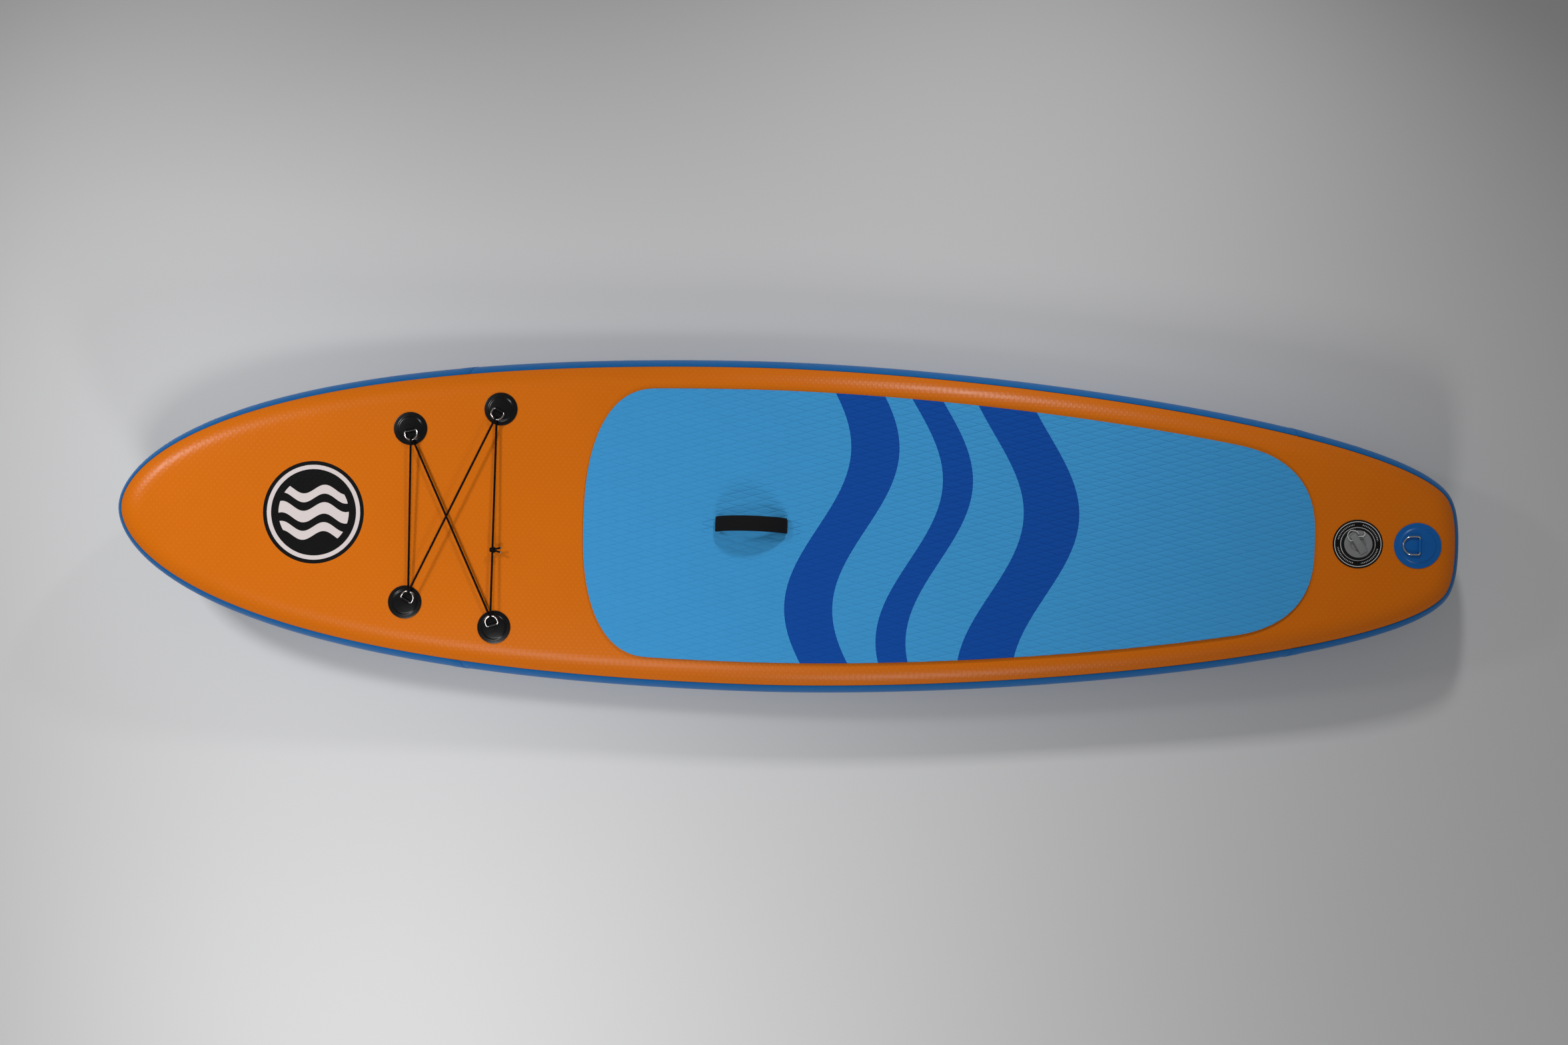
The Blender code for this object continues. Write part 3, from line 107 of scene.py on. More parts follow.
class Wire:
    """An output socket of a node tree with arithmetic."""

    def __init__(self, tree, socket):
        self.tree, self.socket = tree, socket

    def node(self, kind, output, inputs, **settings):
        """Any node: its settings first, then its inputs as wires or plain values; gives back one output."""
        item = self.tree.nodes.new(kind)
        for name, value in settings.items():
            setattr(item, name, value)
        for name, value in inputs.items():
            connect(self.tree, value, item.inputs[name])
        return Wire(self.tree, item.outputs[output])

    def math(self, operation, *others):
        return self.node("ShaderNodeMath", 0, dict(enumerate((self, *others))), operation=operation)

    __add__ = __radd__ = math_method("ADD")
    __mul__ = __rmul__ = math_method("MULTIPLY")
    __sub__ = math_method("SUBTRACT")
    __truediv__ = math_method("DIVIDE")
    __pow__ = math_method("POWER")
    __lt__ = math_method("LESS_THAN")
    __gt__ = math_method("GREATER_THAN")
    sin = math_method("SINE")
    size = math_method("ABSOLUTE")
    fraction = math_method("FRACT")

    def __rsub__(self, other):
        return self * -1.0 + other

    def ramp(self, low, high):
        """Rises smoothly from 0 at low to 1 at high."""
        return self.node("ShaderNodeMapRange", "Result", {"Value": self, "From Min": low, "From Max": high},
                         interpolation_type="SMOOTHSTEP")


def either(*masks):
    """1 where any of the masks is 1."""
    whole, *others = masks
    for mask in others:
        whole = whole.math("MAXIMUM", mask)
    return whole


def mix_colour(share, first, second):
    """The first colour where share is 0, the second where it is 1."""
    return share.node("ShaderNodeMix", 2, {0: share, 6: first, 7: second}, data_type="RGBA")


# %% [markdown]
# ## A finish
#
# Each finish is one Principled shader. Values that are the same all over are set on the shader's own
# sockets. What varies, such as a faint mottling of colour, a change of gloss or the height of a weave, comes
# in as wires. Heights go through a Bump node, whose distance is in metres.


# %% Finish helper
def linear(red, green, blue):
    """A screen colour from 0 to 255 as the linear values that a shader wants."""
    def one(value):
        share = value / 255.0
        return share / 12.92 if share <= 0.04045 else ((share + 0.055) / 1.055) ** 2.4
    return (one(red), one(green), one(blue), 1.0)


class Finish:
    """A material under construction, with its place wires ready."""

    def __init__(self, name, roughness, **constants):
        self.material = bpy.data.materials.new(name)
        self.material.use_nodes = True
        self.tree = self.material.node_tree
        self.shader = self.tree.nodes["Principled BSDF"]
        for socket, value in dict(Roughness=roughness, **constants).items():
            self.shader.inputs[socket.replace("_", " ")].default_value = value
        places = self.tree.nodes.new("ShaderNodeTexCoord")
        self.place = Wire(self.tree, places.outputs["Object"])
        self.uv = Wire(self.tree, places.outputs["UV"])

    def axes(self, source=None):
        """The three parts of a place."""
        split = self.tree.nodes.new("ShaderNodeSeparateXYZ")
        self.tree.links.new((source or self.place).socket, split.inputs[0])
        return [Wire(self.tree, split.outputs[i]) for i in range(3)]

    def noise(self, scale, detail=2.0):
        return self.place.node("ShaderNodeTexNoise", "Fac",
                               {"Vector": self.place, "Scale": scale, "Detail": detail})

    def colour(self, value):
        connect(self.tree, value, self.shader.inputs["Base Color"])

    def roughness(self, value):
        connect(self.tree, value, self.shader.inputs["Roughness"])

    def bump(self, height, distance):
        bumps = {"Strength": 1.0, "Distance": distance, "Height": height}
        connect(self.tree, height.node("ShaderNodeBump", "Normal", bumps), self.shader.inputs["Normal"])

    def mottled(self, colour, depth, scale):
        """The colour, made a little lighter and darker in soft patches."""
        light = tuple(min(1.0, part * (1.0 + depth)) for part in colour[:3]) + (1.0,)
        dark = tuple(part * (1.0 - depth) for part in colour[:3]) + (1.0,)
        return mix_colour(self.noise(scale), dark, light)


def plain_finish(name, roughness, colour, mottle, gloss=None, grain=None, **constants):
    """One mottled colour, with a changing gloss and a fine grain where they are given."""
    finish = Finish(name, roughness, **constants)
    finish.colour(finish.mottled(colour, *mottle))
    if gloss:
        least, change, *noise = gloss
        finish.roughness(least + change * finish.noise(*noise))
    if grain:
        height, *noise = grain
        finish.bump(finish.noise(*noise), height)
    return finish


# %% [markdown]
# ## Coated fabric of the deck
#
# The deck is polyester fabric under a coat of vinyl, printed orange. A roller presses small round bumps
# into the coat, 13 mm apart along the board and 16 mm across, in a staggered lattice that gives grip.
# Bumps this low catch light but never show in outline, so they are a Bump node and not geometry. Their
# tops are also mixed towards a lighter orange: a painted highlight, as if they caught the light. Near the
# nose a round badge is printed straight onto the coat: a ring with three plain waves, drawn by a formula.

# %% Orange deck fabric with its printed badge
DOT_LATTICE = (0.0133, 0.0166)
DOT_RADIUS = 0.0036
BADGE_PLACE = (-1.1356, 0.0)
BADGE_STRETCH = (0.970, 1.025)
BADGE_RADIUS = 0.1205
BADGE_RING = (0.1015, 0.1115)
BADGE_WAVES = ((0.044, 0.0105), (0.0, 0.0135), (-0.044, 0.0105))
WAVES_RADIUS = 0.084
BADGE_SWAY, BADGE_TURNS = 0.011, 62.0


def grip_dots(finish):
    """Height of the staggered round bumps, 0 to 1."""
    x, y, _ = finish.axes()

    def dots(shift):
        along = ((x / DOT_LATTICE[0] + shift).fraction() - 0.5) * DOT_LATTICE[0]
        across = ((y / DOT_LATTICE[1] + shift).fraction() - 0.5) * DOT_LATTICE[1]
        inside = (1.0 - (along * along + across * across) / DOT_RADIUS ** 2).math("MAXIMUM", 0.0)
        return inside * inside

    return dots(0.0) + dots(0.5)


def badge_print(finish):
    """Where the badge is black, and where it is white."""
    x, y, _ = finish.axes()
    out = (x - BADGE_PLACE[0]) / BADGE_STRETCH[0]
    side = (y - BADGE_PLACE[1]) / BADGE_STRETCH[1]
    radius = (out * out + side * side) ** 0.5
    ring = (radius < BADGE_RING[1]) * (radius > BADGE_RING[0])
    sway = BADGE_SWAY * (out * BADGE_TURNS).sin()
    waves = either(*((side - sway - middle).size() < half for middle, half in BADGE_WAVES))
    return radius < BADGE_RADIUS, either(ring, waves * (radius < WAVES_RADIUS))


# The second orange is a painted highlight for the tops of the grip bumps.
deck_orange, dot_highlight_orange = (0.68, 0.156, 0.002), (0.80, 0.205, 0.006, 1.0)
print_black, print_white = (0.004, 0.004, 0.0045, 1.0), (0.74, 0.66, 0.65, 1.0)
orange_fabric = Finish("orange_fabric", 0.33, Specular_IOR_Level=0.18)
black_share, white_share = badge_print(orange_fabric)
dots = grip_dots(orange_fabric)
# Painted highlight: the bump tops are coloured a lighter orange, the way light caught on their sides would
# look.
orange_with_painted_dot_highlight = mix_colour(dots * 0.30, orange_fabric.mottled(deck_orange, 0.035, 5.0), dot_highlight_orange)
orange_fabric.colour(mix_colour(white_share, mix_colour(black_share, orange_with_painted_dot_highlight, print_black), print_white))
orange_fabric.roughness(0.30 + 0.07 * orange_fabric.noise(40.0, 3.0))
weave = orange_fabric.noise(900.0, 1.0)
orange_fabric.bump(dots + 0.10 * weave, 0.00020)
print("badge radius:", BADGE_RADIUS)

# %% [markdown]
# ## Blue bands and foam
#
# The rail bands and the bottom are the same coated fabric without round bumps, so only the weave shows.
# The pad is closed-cell foam: matt, with fine pores, in light blue with broad dark waves. The waves are a
# formula of the place, so they need no pieces of their own.

# %% Blue fabric and foam
blue_fabric = plain_finish("blue_fabric", 0.34, (0.004, 0.122, 0.372), (0.04, 6.0),
                           gloss=(0.30, 0.08, 60.0, 3.0), grain=(0.00006, 700.0, 1.0), Specular_IOR_Level=0.1)
PAD_WAVES = ((0.135, 0.058, 0.0), (0.335, 0.036, 0.6), (0.560, 0.066, 1.2))
PAD_SWAY, PAD_TURNS = 0.075, 8.2


def dark_waves(finish):
    """Where the pad is dark: broad waves that run across it, from their middle, half width and phase."""
    x, y, _ = finish.axes()
    return either(*((x - PAD_SWAY * (y * PAD_TURNS + phase).sin() - middle).size() < half
                    for middle, half, phase in PAD_WAVES))


foam = Finish("pad_foam", 0.82, Specular_IOR_Level=0.15)
foam_light, foam_dark = (foam.mottled(colour, 0.03, 14.0)
                         for colour in ((0.052, 0.335, 0.690), (0.003, 0.073, 0.385)))
foam.colour(mix_colour(dark_waves(foam), foam_light, foam_dark))
foam.bump(foam.noise(1600.0), 0.00012)
print("waves on the pad:", len(PAD_WAVES))

# %% [markdown]
# ## Small finishes
#
# The other finishes are one colour each: moulded vinyl for the patches, polished steel for the rings, soft
# neoprene for the grip, hard plastic and rubber for the valve. Fine noise stands for the grain that a mould
# leaves, and slow noise makes the gloss change a little, as handled things do.

# %% Small finishes
neoprene = plain_finish("neoprene", 0.88, (0.0045, 0.0045, 0.0055), (0.15, 160.0), grain=(0.00015, 1500.0),
                        Specular_IOR_Level=0.2, Sheen_Weight=0.03, Sheen_Roughness=0.4)
patch_vinyl = plain_finish("patch_vinyl_black", 0.26, (0.0022, 0.0022, 0.0024), (0.10, 60.0),
                           gloss=(0.22, 0.10, 90.0, 3.0), grain=(0.00005, 1200.0), Specular_IOR_Level=0.32)
leash_vinyl = plain_finish("patch_vinyl_blue", 0.34, (0.002, 0.110, 0.400), (0.05, 60.0),
                           gloss=(0.30, 0.10, 90.0, 3.0), grain=(0.00005, 1200.0), Specular_IOR_Level=0.3)
steel = plain_finish("ring_steel", 0.16, (0.60, 0.60, 0.61), (0.05, 220.0), gloss=(0.12, 0.10, 350.0),
                     Metallic=1.0)
thread = plain_finish("core_thread", 0.9, linear(225, 224, 218), (0.06, 60.0), grain=(0.0003, 500.0))
black_plastic = plain_finish("moulded_black", 0.40, (0.004, 0.004, 0.0043), (0.08, 90.0),
                             gloss=(0.34, 0.14, 120.0, 3.0), Specular_IOR_Level=0.25)
grey_plastic = plain_finish("moulded_grey", 0.45, linear(128, 129, 130), (0.05, 120.0),
                            gloss=(0.40, 0.12, 150.0, 3.0), grain=(0.00003, 1400.0, 1.0))
rubber = plain_finish("seal_rubber", 0.65, linear(22, 22, 22), (0.10, 200.0), grain=(0.00004, 900.0))
clear_line = plain_finish("tether_line", 0.22, (0.72, 0.73, 0.73), (0.04, 300.0), IOR=1.5, Coat_Weight=0.4)
print("finishes:", len(bpy.data.materials))

# %% [markdown]
# ## Woven strap and braided cord
#
# A strap is woven, so its ribs follow the strap and not the world. The pieces made below carry a UV map
# whose two directions run along and across, and these two finishes read that map. The cord's braid is two
# families of slanting strands that cross, made with two sine waves.

# %% Webbing and braid
BRAID_PITCH, BRAID_STRANDS, CUT_END = 2400.0, 4, 0.0007
webbing = Finish("webbing_black", 0.75, Sheen_Weight=0.2)
along, across, _ = webbing.axes(webbing.uv)
ribs = (along * 1150.0).sin() * (across * 60.0).sin()
webbing.colour(mix_colour(ribs.ramp(-1.0, 1.0), linear(10, 10, 11), linear(24, 24, 26)))
webbing.bump(ribs, 0.00022)


def braided(name, run=None):
    """A braided black sheath; with a length, its two cut ends show the pale rubber core."""
    finish = Finish(name, 0.80, Specular_IOR_Level=0.08)
    along, around, _ = finish.axes(finish.uv)
    left_hand = (along * BRAID_PITCH + around * math.tau * BRAID_STRANDS).sin()
    right_hand = (along * BRAID_PITCH - around * math.tau * BRAID_STRANDS).sin()
    strands = left_hand.math("MAXIMUM", right_hand)
    sheath = mix_colour(strands.ramp(0.0, 1.0), (0.0016, 0.0012, 0.0012, 1.0), (0.0090, 0.0070, 0.0070, 1.0))
    if run:
        cut_end = either(along < CUT_END, along > run - CUT_END)
        sheath = mix_colour(cut_end, sheath, (0.35, 0.33, 0.31, 1.0))
    finish.colour(sheath)
    finish.bump(strands, 0.00012)
    return finish


braid = braided("cord_braid")
print("strap and braid ready")

# %% [markdown]
# ## A grid laid over a surface
#
# Most of this board is swept or rolled sheet. The plain way to make sheet is a grid: Blender adds it with
# its UV map, and every crossing of the grid is then put where the sheet should be. Where the grid closes
# on itself, its doubles are merged. A Solidify modifier can give the sheet its wall afterwards.


# %% Grid helpers
def nothing_selected():
    if bpy.context.mode != "OBJECT":
        bpy.ops.object.mode_set(mode="OBJECT")
    bpy.ops.object.select_all(action="DESELECT")


def added(primitive, **settings):
    """A new primitive, alone selected, whose object is at the origin, unturned and unscaled."""
    nothing_selected()
    primitive(**settings)
    bpy.ops.object.transform_apply()
    return bpy.context.object


def corners_of(item):
    """The places of a piece's corners, one row each."""
    flat = np.empty(len(item.data.vertices) * 3)
    item.data.vertices.foreach_get("co", flat)
    return flat.reshape(-1, 3)


def put_corners(item, places):
    """Move a piece's corners to new places."""
    item.data.vertices.foreach_set("co", places.ravel())
    item.data.update()
    return item


def laid_grid(name, rows, columns, place, lengths=(1.0, 1.0)):
    """A grid whose crossing (row, column) is put at place(row, column), with doubles merged.

    The UV map runs along the rows and across the columns, scaled to lengths.
    """
    item = added(bpy.ops.mesh.primitive_grid_add, x_subdivisions=rows - 1, y_subdivisions=columns - 1,
                 size=1.0)
    item.name = item.data.name = name
    crossings = np.rint((corners_of(item)[:, :2] + 0.5) * (rows - 1, columns - 1)).astype(int)
    put_corners(item, np.array([place(row, column) for row, column in crossings], float))
    layer = item.data.uv_layers[0].data
    map_places = np.empty(len(layer) * 2)
    layer.foreach_get("uv", map_places)
    layer.foreach_set("uv", (map_places.reshape(-1, 2) * lengths).ravel())
    tidy(item)
    return item


def tidy(item, merge=1e-6):
    """Merge doubles, drop faces without area and turn all faces outwards."""
    only(item)
    bpy.ops.object.mode_set(mode="EDIT")
    bpy.ops.mesh.select_all(action="SELECT")
    bpy.ops.mesh.remove_doubles(threshold=merge)
    bpy.ops.mesh.dissolve_degenerate(threshold=merge)
    bpy.ops.mesh.select_all(action="SELECT")
    bpy.ops.mesh.normals_make_consistent(inside=False)
    bpy.ops.object.mode_set(mode="OBJECT")


def only(item):
    """Select one object and make it active."""
    nothing_selected()
    item.select_set(True)
    bpy.context.view_layer.objects.active = item


# %% [markdown]
# ## Cutting, shading and dressing
#
# A wall, a bevel or a cut is a modifier that is applied at once, so each later step works on the real
# mesh. Smooth shading leaves the edges sharp that turn by more than an angle. A finished piece is told
# its material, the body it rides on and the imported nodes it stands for.


# %% Modifier and dressing helpers
def applied(item, kind, **settings):
    """Add a modifier and apply it at once."""
    only(item)
    modifier = item.modifiers.new(kind.lower(), kind)
    for name, value in settings.items():
        setattr(modifier, name, value)
    bpy.ops.object.modifier_apply(modifier=modifier.name)
    return item


def cut(item, tool, operation="DIFFERENCE", solver="EXACT"):
    """Cut a tool out of a piece, or join the two, and throw the tool away."""
    applied(item, "BOOLEAN", operation=operation, solver=solver, object=tool)
    bpy.data.objects.remove(tool, do_unlink=True)
    return item


def smooth(item, degrees=35.0):
    only(item)
    bpy.ops.object.shade_smooth_by_angle(angle=math.radians(degrees))
    return item


def dressed(item, finish, slot, body, *replaced):
    """Give a piece its finish, the body it rides on if it has one, and the nodes it stands for. The slot is
    not used.
    """
    item.data.materials.clear()
    item.data.materials.append(finish.material)
    if body:
        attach(item, body)
    if replaced:
        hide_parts(*replaced)
    return item


# %% [markdown]
# ## The board's outline and rocker
#
# The plan outline is three Bezier curves: nose to widest point, widest point to the tail corner, and
# across the tail. An arm says how far a curve runs on in the direction in which it starts or ends. The
# rocker is the way nose and tail rise. Every skin, band and rail point below comes from these formulas
# and one radius, so the pieces fit each other all the way round.

# %% Outline and rocker
LENGTH = 3.200
WIDTH = 0.814
THICKNESS = 0.150
GAP = 0.0003
SKIN_WALL = 0.0015
BAND_WALL = 0.0012
NOSE_X = -LENGTH / 2
TAIL_X = LENGTH / 2
SKIN_RADIUS = THICKNESS / 2
BAND_RADIUS = SKIN_RADIUS + GAP + BAND_WALL
BAND_EDGE = math.radians(43.0)
WIDEST_X, CORNER = NOSE_X + 1.513, (TAIL_X - 0.037, 0.141)
NOSE_ARM, FORE_ARM, AFT_ARM, CORNER_ARMS, TAIL_ARM = 0.119, 1.300, 0.598, (0.216, 0.027), 0.094
NOSE_BEND, NOSE_RISE, NOSE_POWER = 1.350, 0.150, 2.2
TAIL_BEND, TAIL_RISE, TAIL_POWER = 1.050, 0.045, 2.0


def bezier(points, count=400):
    t = np.linspace(0.0, 1.0, count)[:, None]
    a, b, c, d = (np.array(point) for point in points)
    return (1 - t) ** 3 * a + 3 * (1 - t) ** 2 * t * b + 3 * (1 - t) * t ** 2 * c + t ** 3 * d


def half_outline():
    """Fine points along the starboard edge, nose tip to middle of the tail."""
    half, corner = WIDTH / 2, np.array(CORNER)
    lean = np.array((math.cos(math.pi / 4), -math.sin(math.pi / 4)))
    fore = bezier([(NOSE_X, 0.0), (NOSE_X, NOSE_ARM), (WIDEST_X - FORE_ARM, half), (WIDEST_X, half)])
    quarter = bezier([(WIDEST_X, half), (WIDEST_X + AFT_ARM, half), corner - lean * CORNER_ARMS[0], corner])
    end = bezier([corner, corner + lean * CORNER_ARMS[1], (TAIL_X, TAIL_ARM), (TAIL_X, 0.0)])
    return np.vstack([fore, quarter[1:], end[1:]])


def rocker(x):
    """How far the bottom rises off the floor at x."""
    nose = np.clip((NOSE_X + NOSE_BEND - x) / NOSE_BEND, 0.0, None)
    tail = np.clip((x - TAIL_X + TAIL_BEND) / TAIL_BEND, 0.0, None)
    return NOSE_RISE * nose ** NOSE_POWER + TAIL_RISE * tail ** TAIL_POWER


print("widest at x:", round(WIDEST_X, 3))


# %% Stations round the board
def stations(spacing=0.016, turn=math.radians(2.2)):
    """Even places along the half outline as (x, y, normal x, normal y), closer where it turns."""
    fine = half_outline()
    step = np.diff(fine, axis=0)
    heading = np.unwrap(np.arctan2(step[:, 1], step[:, 0]))
    bend = np.abs(np.diff(heading, prepend=heading[0]))
    effort = np.concatenate([[0.0], np.cumsum(np.hypot(step[:, 0], step[:, 1]) / spacing + bend / turn)])
    wanted = np.linspace(0.0, effort[-1], int(effort[-1]) + 1)
    tangent = np.gradient(fine, axis=0)
    tangent /= np.hypot(tangent[:, 0], tangent[:, 1])[:, None]
    x, y, tx, ty = (np.interp(wanted, effort, values) for values in (*fine.T, *tangent.T))
    size = np.hypot(tx, ty)
    places = np.stack([x, y, -ty / size, tx / size], axis=1)
    places[[0, -1]] = (NOSE_X, 0.0, -1.0, 0.0), (TAIL_X, 0.0, 1.0, 0.0)
    return places


HALF = stations()
LOOP = np.vstack([HALF, HALF[-2:0:-1] * (1.0, -1.0, 1.0, -1.0)])


def rail_point(place, radius, angle):
    """A point on the round rail, at an angle above its widest line."""
    x, y, nx, ny = place
    reach = radius * math.cos(angle) - BAND_RADIUS
    out_x = x + nx * reach
    return (out_x, y + ny * reach, float(rocker(out_x)) + THICKNESS / 2 + radius * math.sin(angle))


print("stations on one side:", len(HALF))

# %% [markdown]
# ## The skins
#
# Deck and bottom are each one sheet that is flat across and rolls over the rail's edge. A row of the grid
# runs from under the band on one side, up over the roll, across the board, and down the other side. At the
# nose and the tail both halves of a row meet, so the grid closes there when its doubles are merged.

# %% Deck and bottom skins
ROLL_STEPS = 8
ACROSS_STEPS = 6
TUCK = 0.36
ROLL = list(np.linspace(math.pi / 2, BAND_EDGE - TUCK, ROLL_STEPS + 1))


def skin(name, side):
    """One coated skin: side 1 is the deck, side -1 the bottom."""
    across = [(1.0 - 2.0 * k / ACROSS_STEPS, math.pi / 2) for k in range(1, ACROSS_STEPS)]
    columns = [(1.0, angle) for angle in reversed(ROLL)] + across + [(-1.0, angle) for angle in ROLL]

    def place(row, column):
        share, angle = columns[column]
        x, y, z = rail_point(HALF[row], SKIN_RADIUS, side * angle)
        return (x, y * share, z)

    item = laid_grid(name, len(HALF), len(columns), place, (LENGTH, WIDTH))
    applied(item, "SOLIDIFY", thickness=SKIN_WALL, offset=-1.0, use_even_offset=True)
    return smooth(item, 40.0)


deck = skin("deck_fabric", 1)
bottom = skin("bottom_fabric", -1)
dressed(bottom, blue_fabric, "skin_blue", "board", "bottom_skin")
print("deck faces:", len(deck.data.polygons))

# %% [markdown]
# ## The hole for the valve
#
# The valve's neck goes through the deck. The joint that turns its cap gives the valve's middle and the way
# it points, and a matrix made from the two lets every valve part be modelled upright at the origin and
# then be carried into place. A short cylinder, put there the same way, cuts the hole.

# %% Valve place and hole
def frame_of(place, *directions):
    """The matrix that carries the origin to a place, and X, Y and Z to three directions."""
    return Matrix.Translation(place) @ Matrix(directions).transposed().to_4x4()


NECK_HOLE = 0.0255
cap_joint = joints["cap_turn"]
valve_up = Vector(cap_joint["axis"]).normalized()
valve_ahead = Vector((valve_up.z, 0.0, -valve_up.x))
valve_place = frame_of(Vector(cap_joint["pos_m"]), valve_ahead, valve_up.cross(valve_ahead), valve_up)
hole_tool = added(bpy.ops.mesh.primitive_cylinder_add, vertices=96, radius=NECK_HOLE, depth=0.02)
hole_tool.data.transform(valve_place)
cut(deck, hole_tool)
smooth(deck, 40.0)
dressed(deck, orange_fabric, "skin_orange", "board", "deck_skin")
print("valve stands at", [round(v, 3) for v in valve_place.translation])

# %% [markdown]
# ## The rail bands
#
# Four bands of blue fabric close the rail. The nose and tail bands lie over the ends of the side bands,
# and each end is cut in a slant. So an over-lying band rises a little near its end. Band ends are places
# along the loop of stations, and the grid's rows follow the loop between them. A band's wall is bedded a
# little into the skin, because a gap along its edge would show as a dark line.

# %% Places along the outline
loop_x, loop_y = LOOP[:, 0], LOOP[:, 1]
loop_run = np.concatenate([[0.0], np.cumsum(np.hypot(np.diff(loop_x, append=loop_x[0]),
                                                     np.diff(loop_y, append=loop_y[0])))])
WHOLE = float(loop_run[-1])
wrapped = np.vstack([LOOP, LOOP[:1]])


def loop_place(run):
    """The outline's place and normal at a run along the loop, in metres from the nose."""
    run = run % WHOLE
    x, y, nx, ny = (float(np.interp(run, loop_run, wrapped[:, k])) for k in range(4))
    size = math.hypot(nx, ny)
    return (x, y, nx / size, ny / size)


def run_at(x, side):
    """How far along the loop the outline passes x, on one side."""
    half_count = len(HALF)
    run = float(np.interp(x, loop_x[:half_count], loop_run[:half_count]))
    return run if side > 0 else WHOLE - run


print("loop length:", round(WHOLE, 3))

# %% Rail bands with lapped ends
BAND_STEPS = 14
LAP_REACH, LAP_RAMP, LAP_LIFT = 0.0125, 0.018, 0.0008
LAP_SLANT, SLANT_LENGTH = 0.013, 0.10
BAND_BED, BAND_SPACING = 0.0006, 0.012


def band(name, start, stop, over):
    """A band from one lap middle to the next, in metres along the loop."""
    first, last = start - LAP_REACH, stop + LAP_REACH
    count = max(12, int((stop - start) / BAND_SPACING))
    shares = np.linspace(0.0, 1.0, count + 1)
    if over:
        ramp = 2 * LAP_REACH + 10 * GAP
        ends = np.array([0.0, ramp, ramp + LAP_RAMP])
        inner = first + ends[2] + (last - first - 2 * ends[2]) * shares[1:-1]
        runs = np.concatenate([first + ends, inner, last - ends[::-1]])
        rises = np.concatenate([[LAP_LIFT, LAP_LIFT], np.zeros(count + 1), [LAP_LIFT, LAP_LIFT]])
    else:
        runs = first + (last - first) * shares
        rises = np.zeros(count + 1)

    def place(row, column):
        angle = BAND_EDGE * (1.0 - 2.0 * column / BAND_STEPS)
        near_start = max(0.0, 1.0 - (runs[row] - first) / SLANT_LENGTH)
        near_stop = max(0.0, 1.0 - (last - runs[row]) / SLANT_LENGTH)
        slant = LAP_SLANT * math.sin(math.pi / 2 * angle / BAND_EDGE)
        run = runs[row] + slant * (near_start - near_stop)
        return rail_point(loop_place(run), BAND_RADIUS + rises[row], angle)

    item = laid_grid(name, len(runs), BAND_STEPS + 1, place, (stop - start, 0.11))
    applied(item, "SOLIDIFY", thickness=BAND_WALL + GAP + BAND_BED, offset=-1.0, use_even_offset=True)
    applied(item, "BEVEL", width=0.0005, segments=2, limit_method="ANGLE", angle_limit=math.radians(60.0))
    return smooth(item, 40.0)


LAPS = ((NOSE_X + 0.815, 1), (TAIL_X - 0.383, 1), (TAIL_X - 0.383, -1), (NOSE_X + 0.815, -1))
fore_starboard, aft_starboard, aft_port, fore_port = (run_at(x, side) for x, side in LAPS)
band_ends = {"nose": (fore_port - WHOLE, fore_starboard, True),
             "starboard": (fore_starboard, aft_starboard, False),
             "tail": (aft_starboard, aft_port, True),
             "port": (aft_port, fore_port, False)}
for label, (start, stop, over) in band_ends.items():
    rail = band("rail_fabric_" + label, start, stop, over)
    dressed(rail, blue_fabric, "rail_band", "board", "rail_band_" + label)
print("bands:", len(band_ends))

# %% [markdown]
# ## The deck pad
#
# The pad is a sheet of foam whose top is pressed into long diamonds. Each diamond is like a low scale: it
# drops steeply on its two port edges and slopes gently on the other two, so the port edges read as dark
# lines. One diamond is modelled from a four-sided cylinder whose top is made smaller and moved to port. Two
# arrays repeat it, a second set sits half a step over, and what lies outside the pad's outline is cut away.
# At the end the whole pad is laid along the rocker.

# %% Pad outline and base sheet
PAD_FRONT, PAD_REAR = NOSE_X + 1.109, TAIL_X - 0.349
PAD_MARGIN, PAD_ROUND, PAD_POWERS = 0.078, (0.170, 0.200), (2.45, 2.9)
PAD_TOP = 0.0053
GROOVE_FLOOR = 0.0046
DIAMOND_LENGTH, DIAMOND_WIDTH = 0.0640, 0.0172
DIAMOND_GAPS, DIAMOND_BED = (0.0008, 0.0002), 0.0002
CROWN_SHARES, CROWN_SHIFT, CROWN_EDGE = (0.64, 0.68), -0.0018, 0.0004
LATTICE_TURN, LATTICE_HALF, LATTICE_START = math.radians(0.65), 0.37, 0.6
outline_fine = half_outline()


def pad_half(x, inset=0.0):
    """Half width of the pad at x."""
    half = float(np.interp(x, outline_fine[:, 0], outline_fine[:, 1])) - PAD_MARGIN
    for far, rounding, power in zip((PAD_FRONT - x, x - PAD_REAR), PAD_ROUND, PAD_POWERS):
        share = min(1.0, max(0.0, (far + rounding) / rounding))
        half *= max(0.0, 1.0 - share ** power) ** (1.0 / power)
    return max(0.0, half - inset)


def pad_places(inset):
    """Places along the pad, closer together at its rounded ends."""
    front, rear = PAD_FRONT + inset, PAD_REAR - inset
    ends = 1.0 - np.cos(np.linspace(0.0, math.pi / 2, 25))
    middle = np.linspace(front + PAD_ROUND[0], rear - PAD_ROUND[1], 80)[1:-1]
    return np.concatenate([front + PAD_ROUND[0] * ends, middle, rear - PAD_ROUND[1] * ends[::-1]])


def pad_sheet(name, inset, low, high, columns=12):
    """A flat sheet of the pad's outline between two heights."""
    places = pad_places(inset)

    def place(row, column):
        x = places[row]
        return (x, pad_half(x, inset) * (1.0 - 2.0 * column / columns), high)

    item = laid_grid(name, len(places), columns + 1, place, (PAD_REAR - PAD_FRONT, 0.66))
    return applied(item, "SOLIDIFY", thickness=high - low, offset=-1.0)


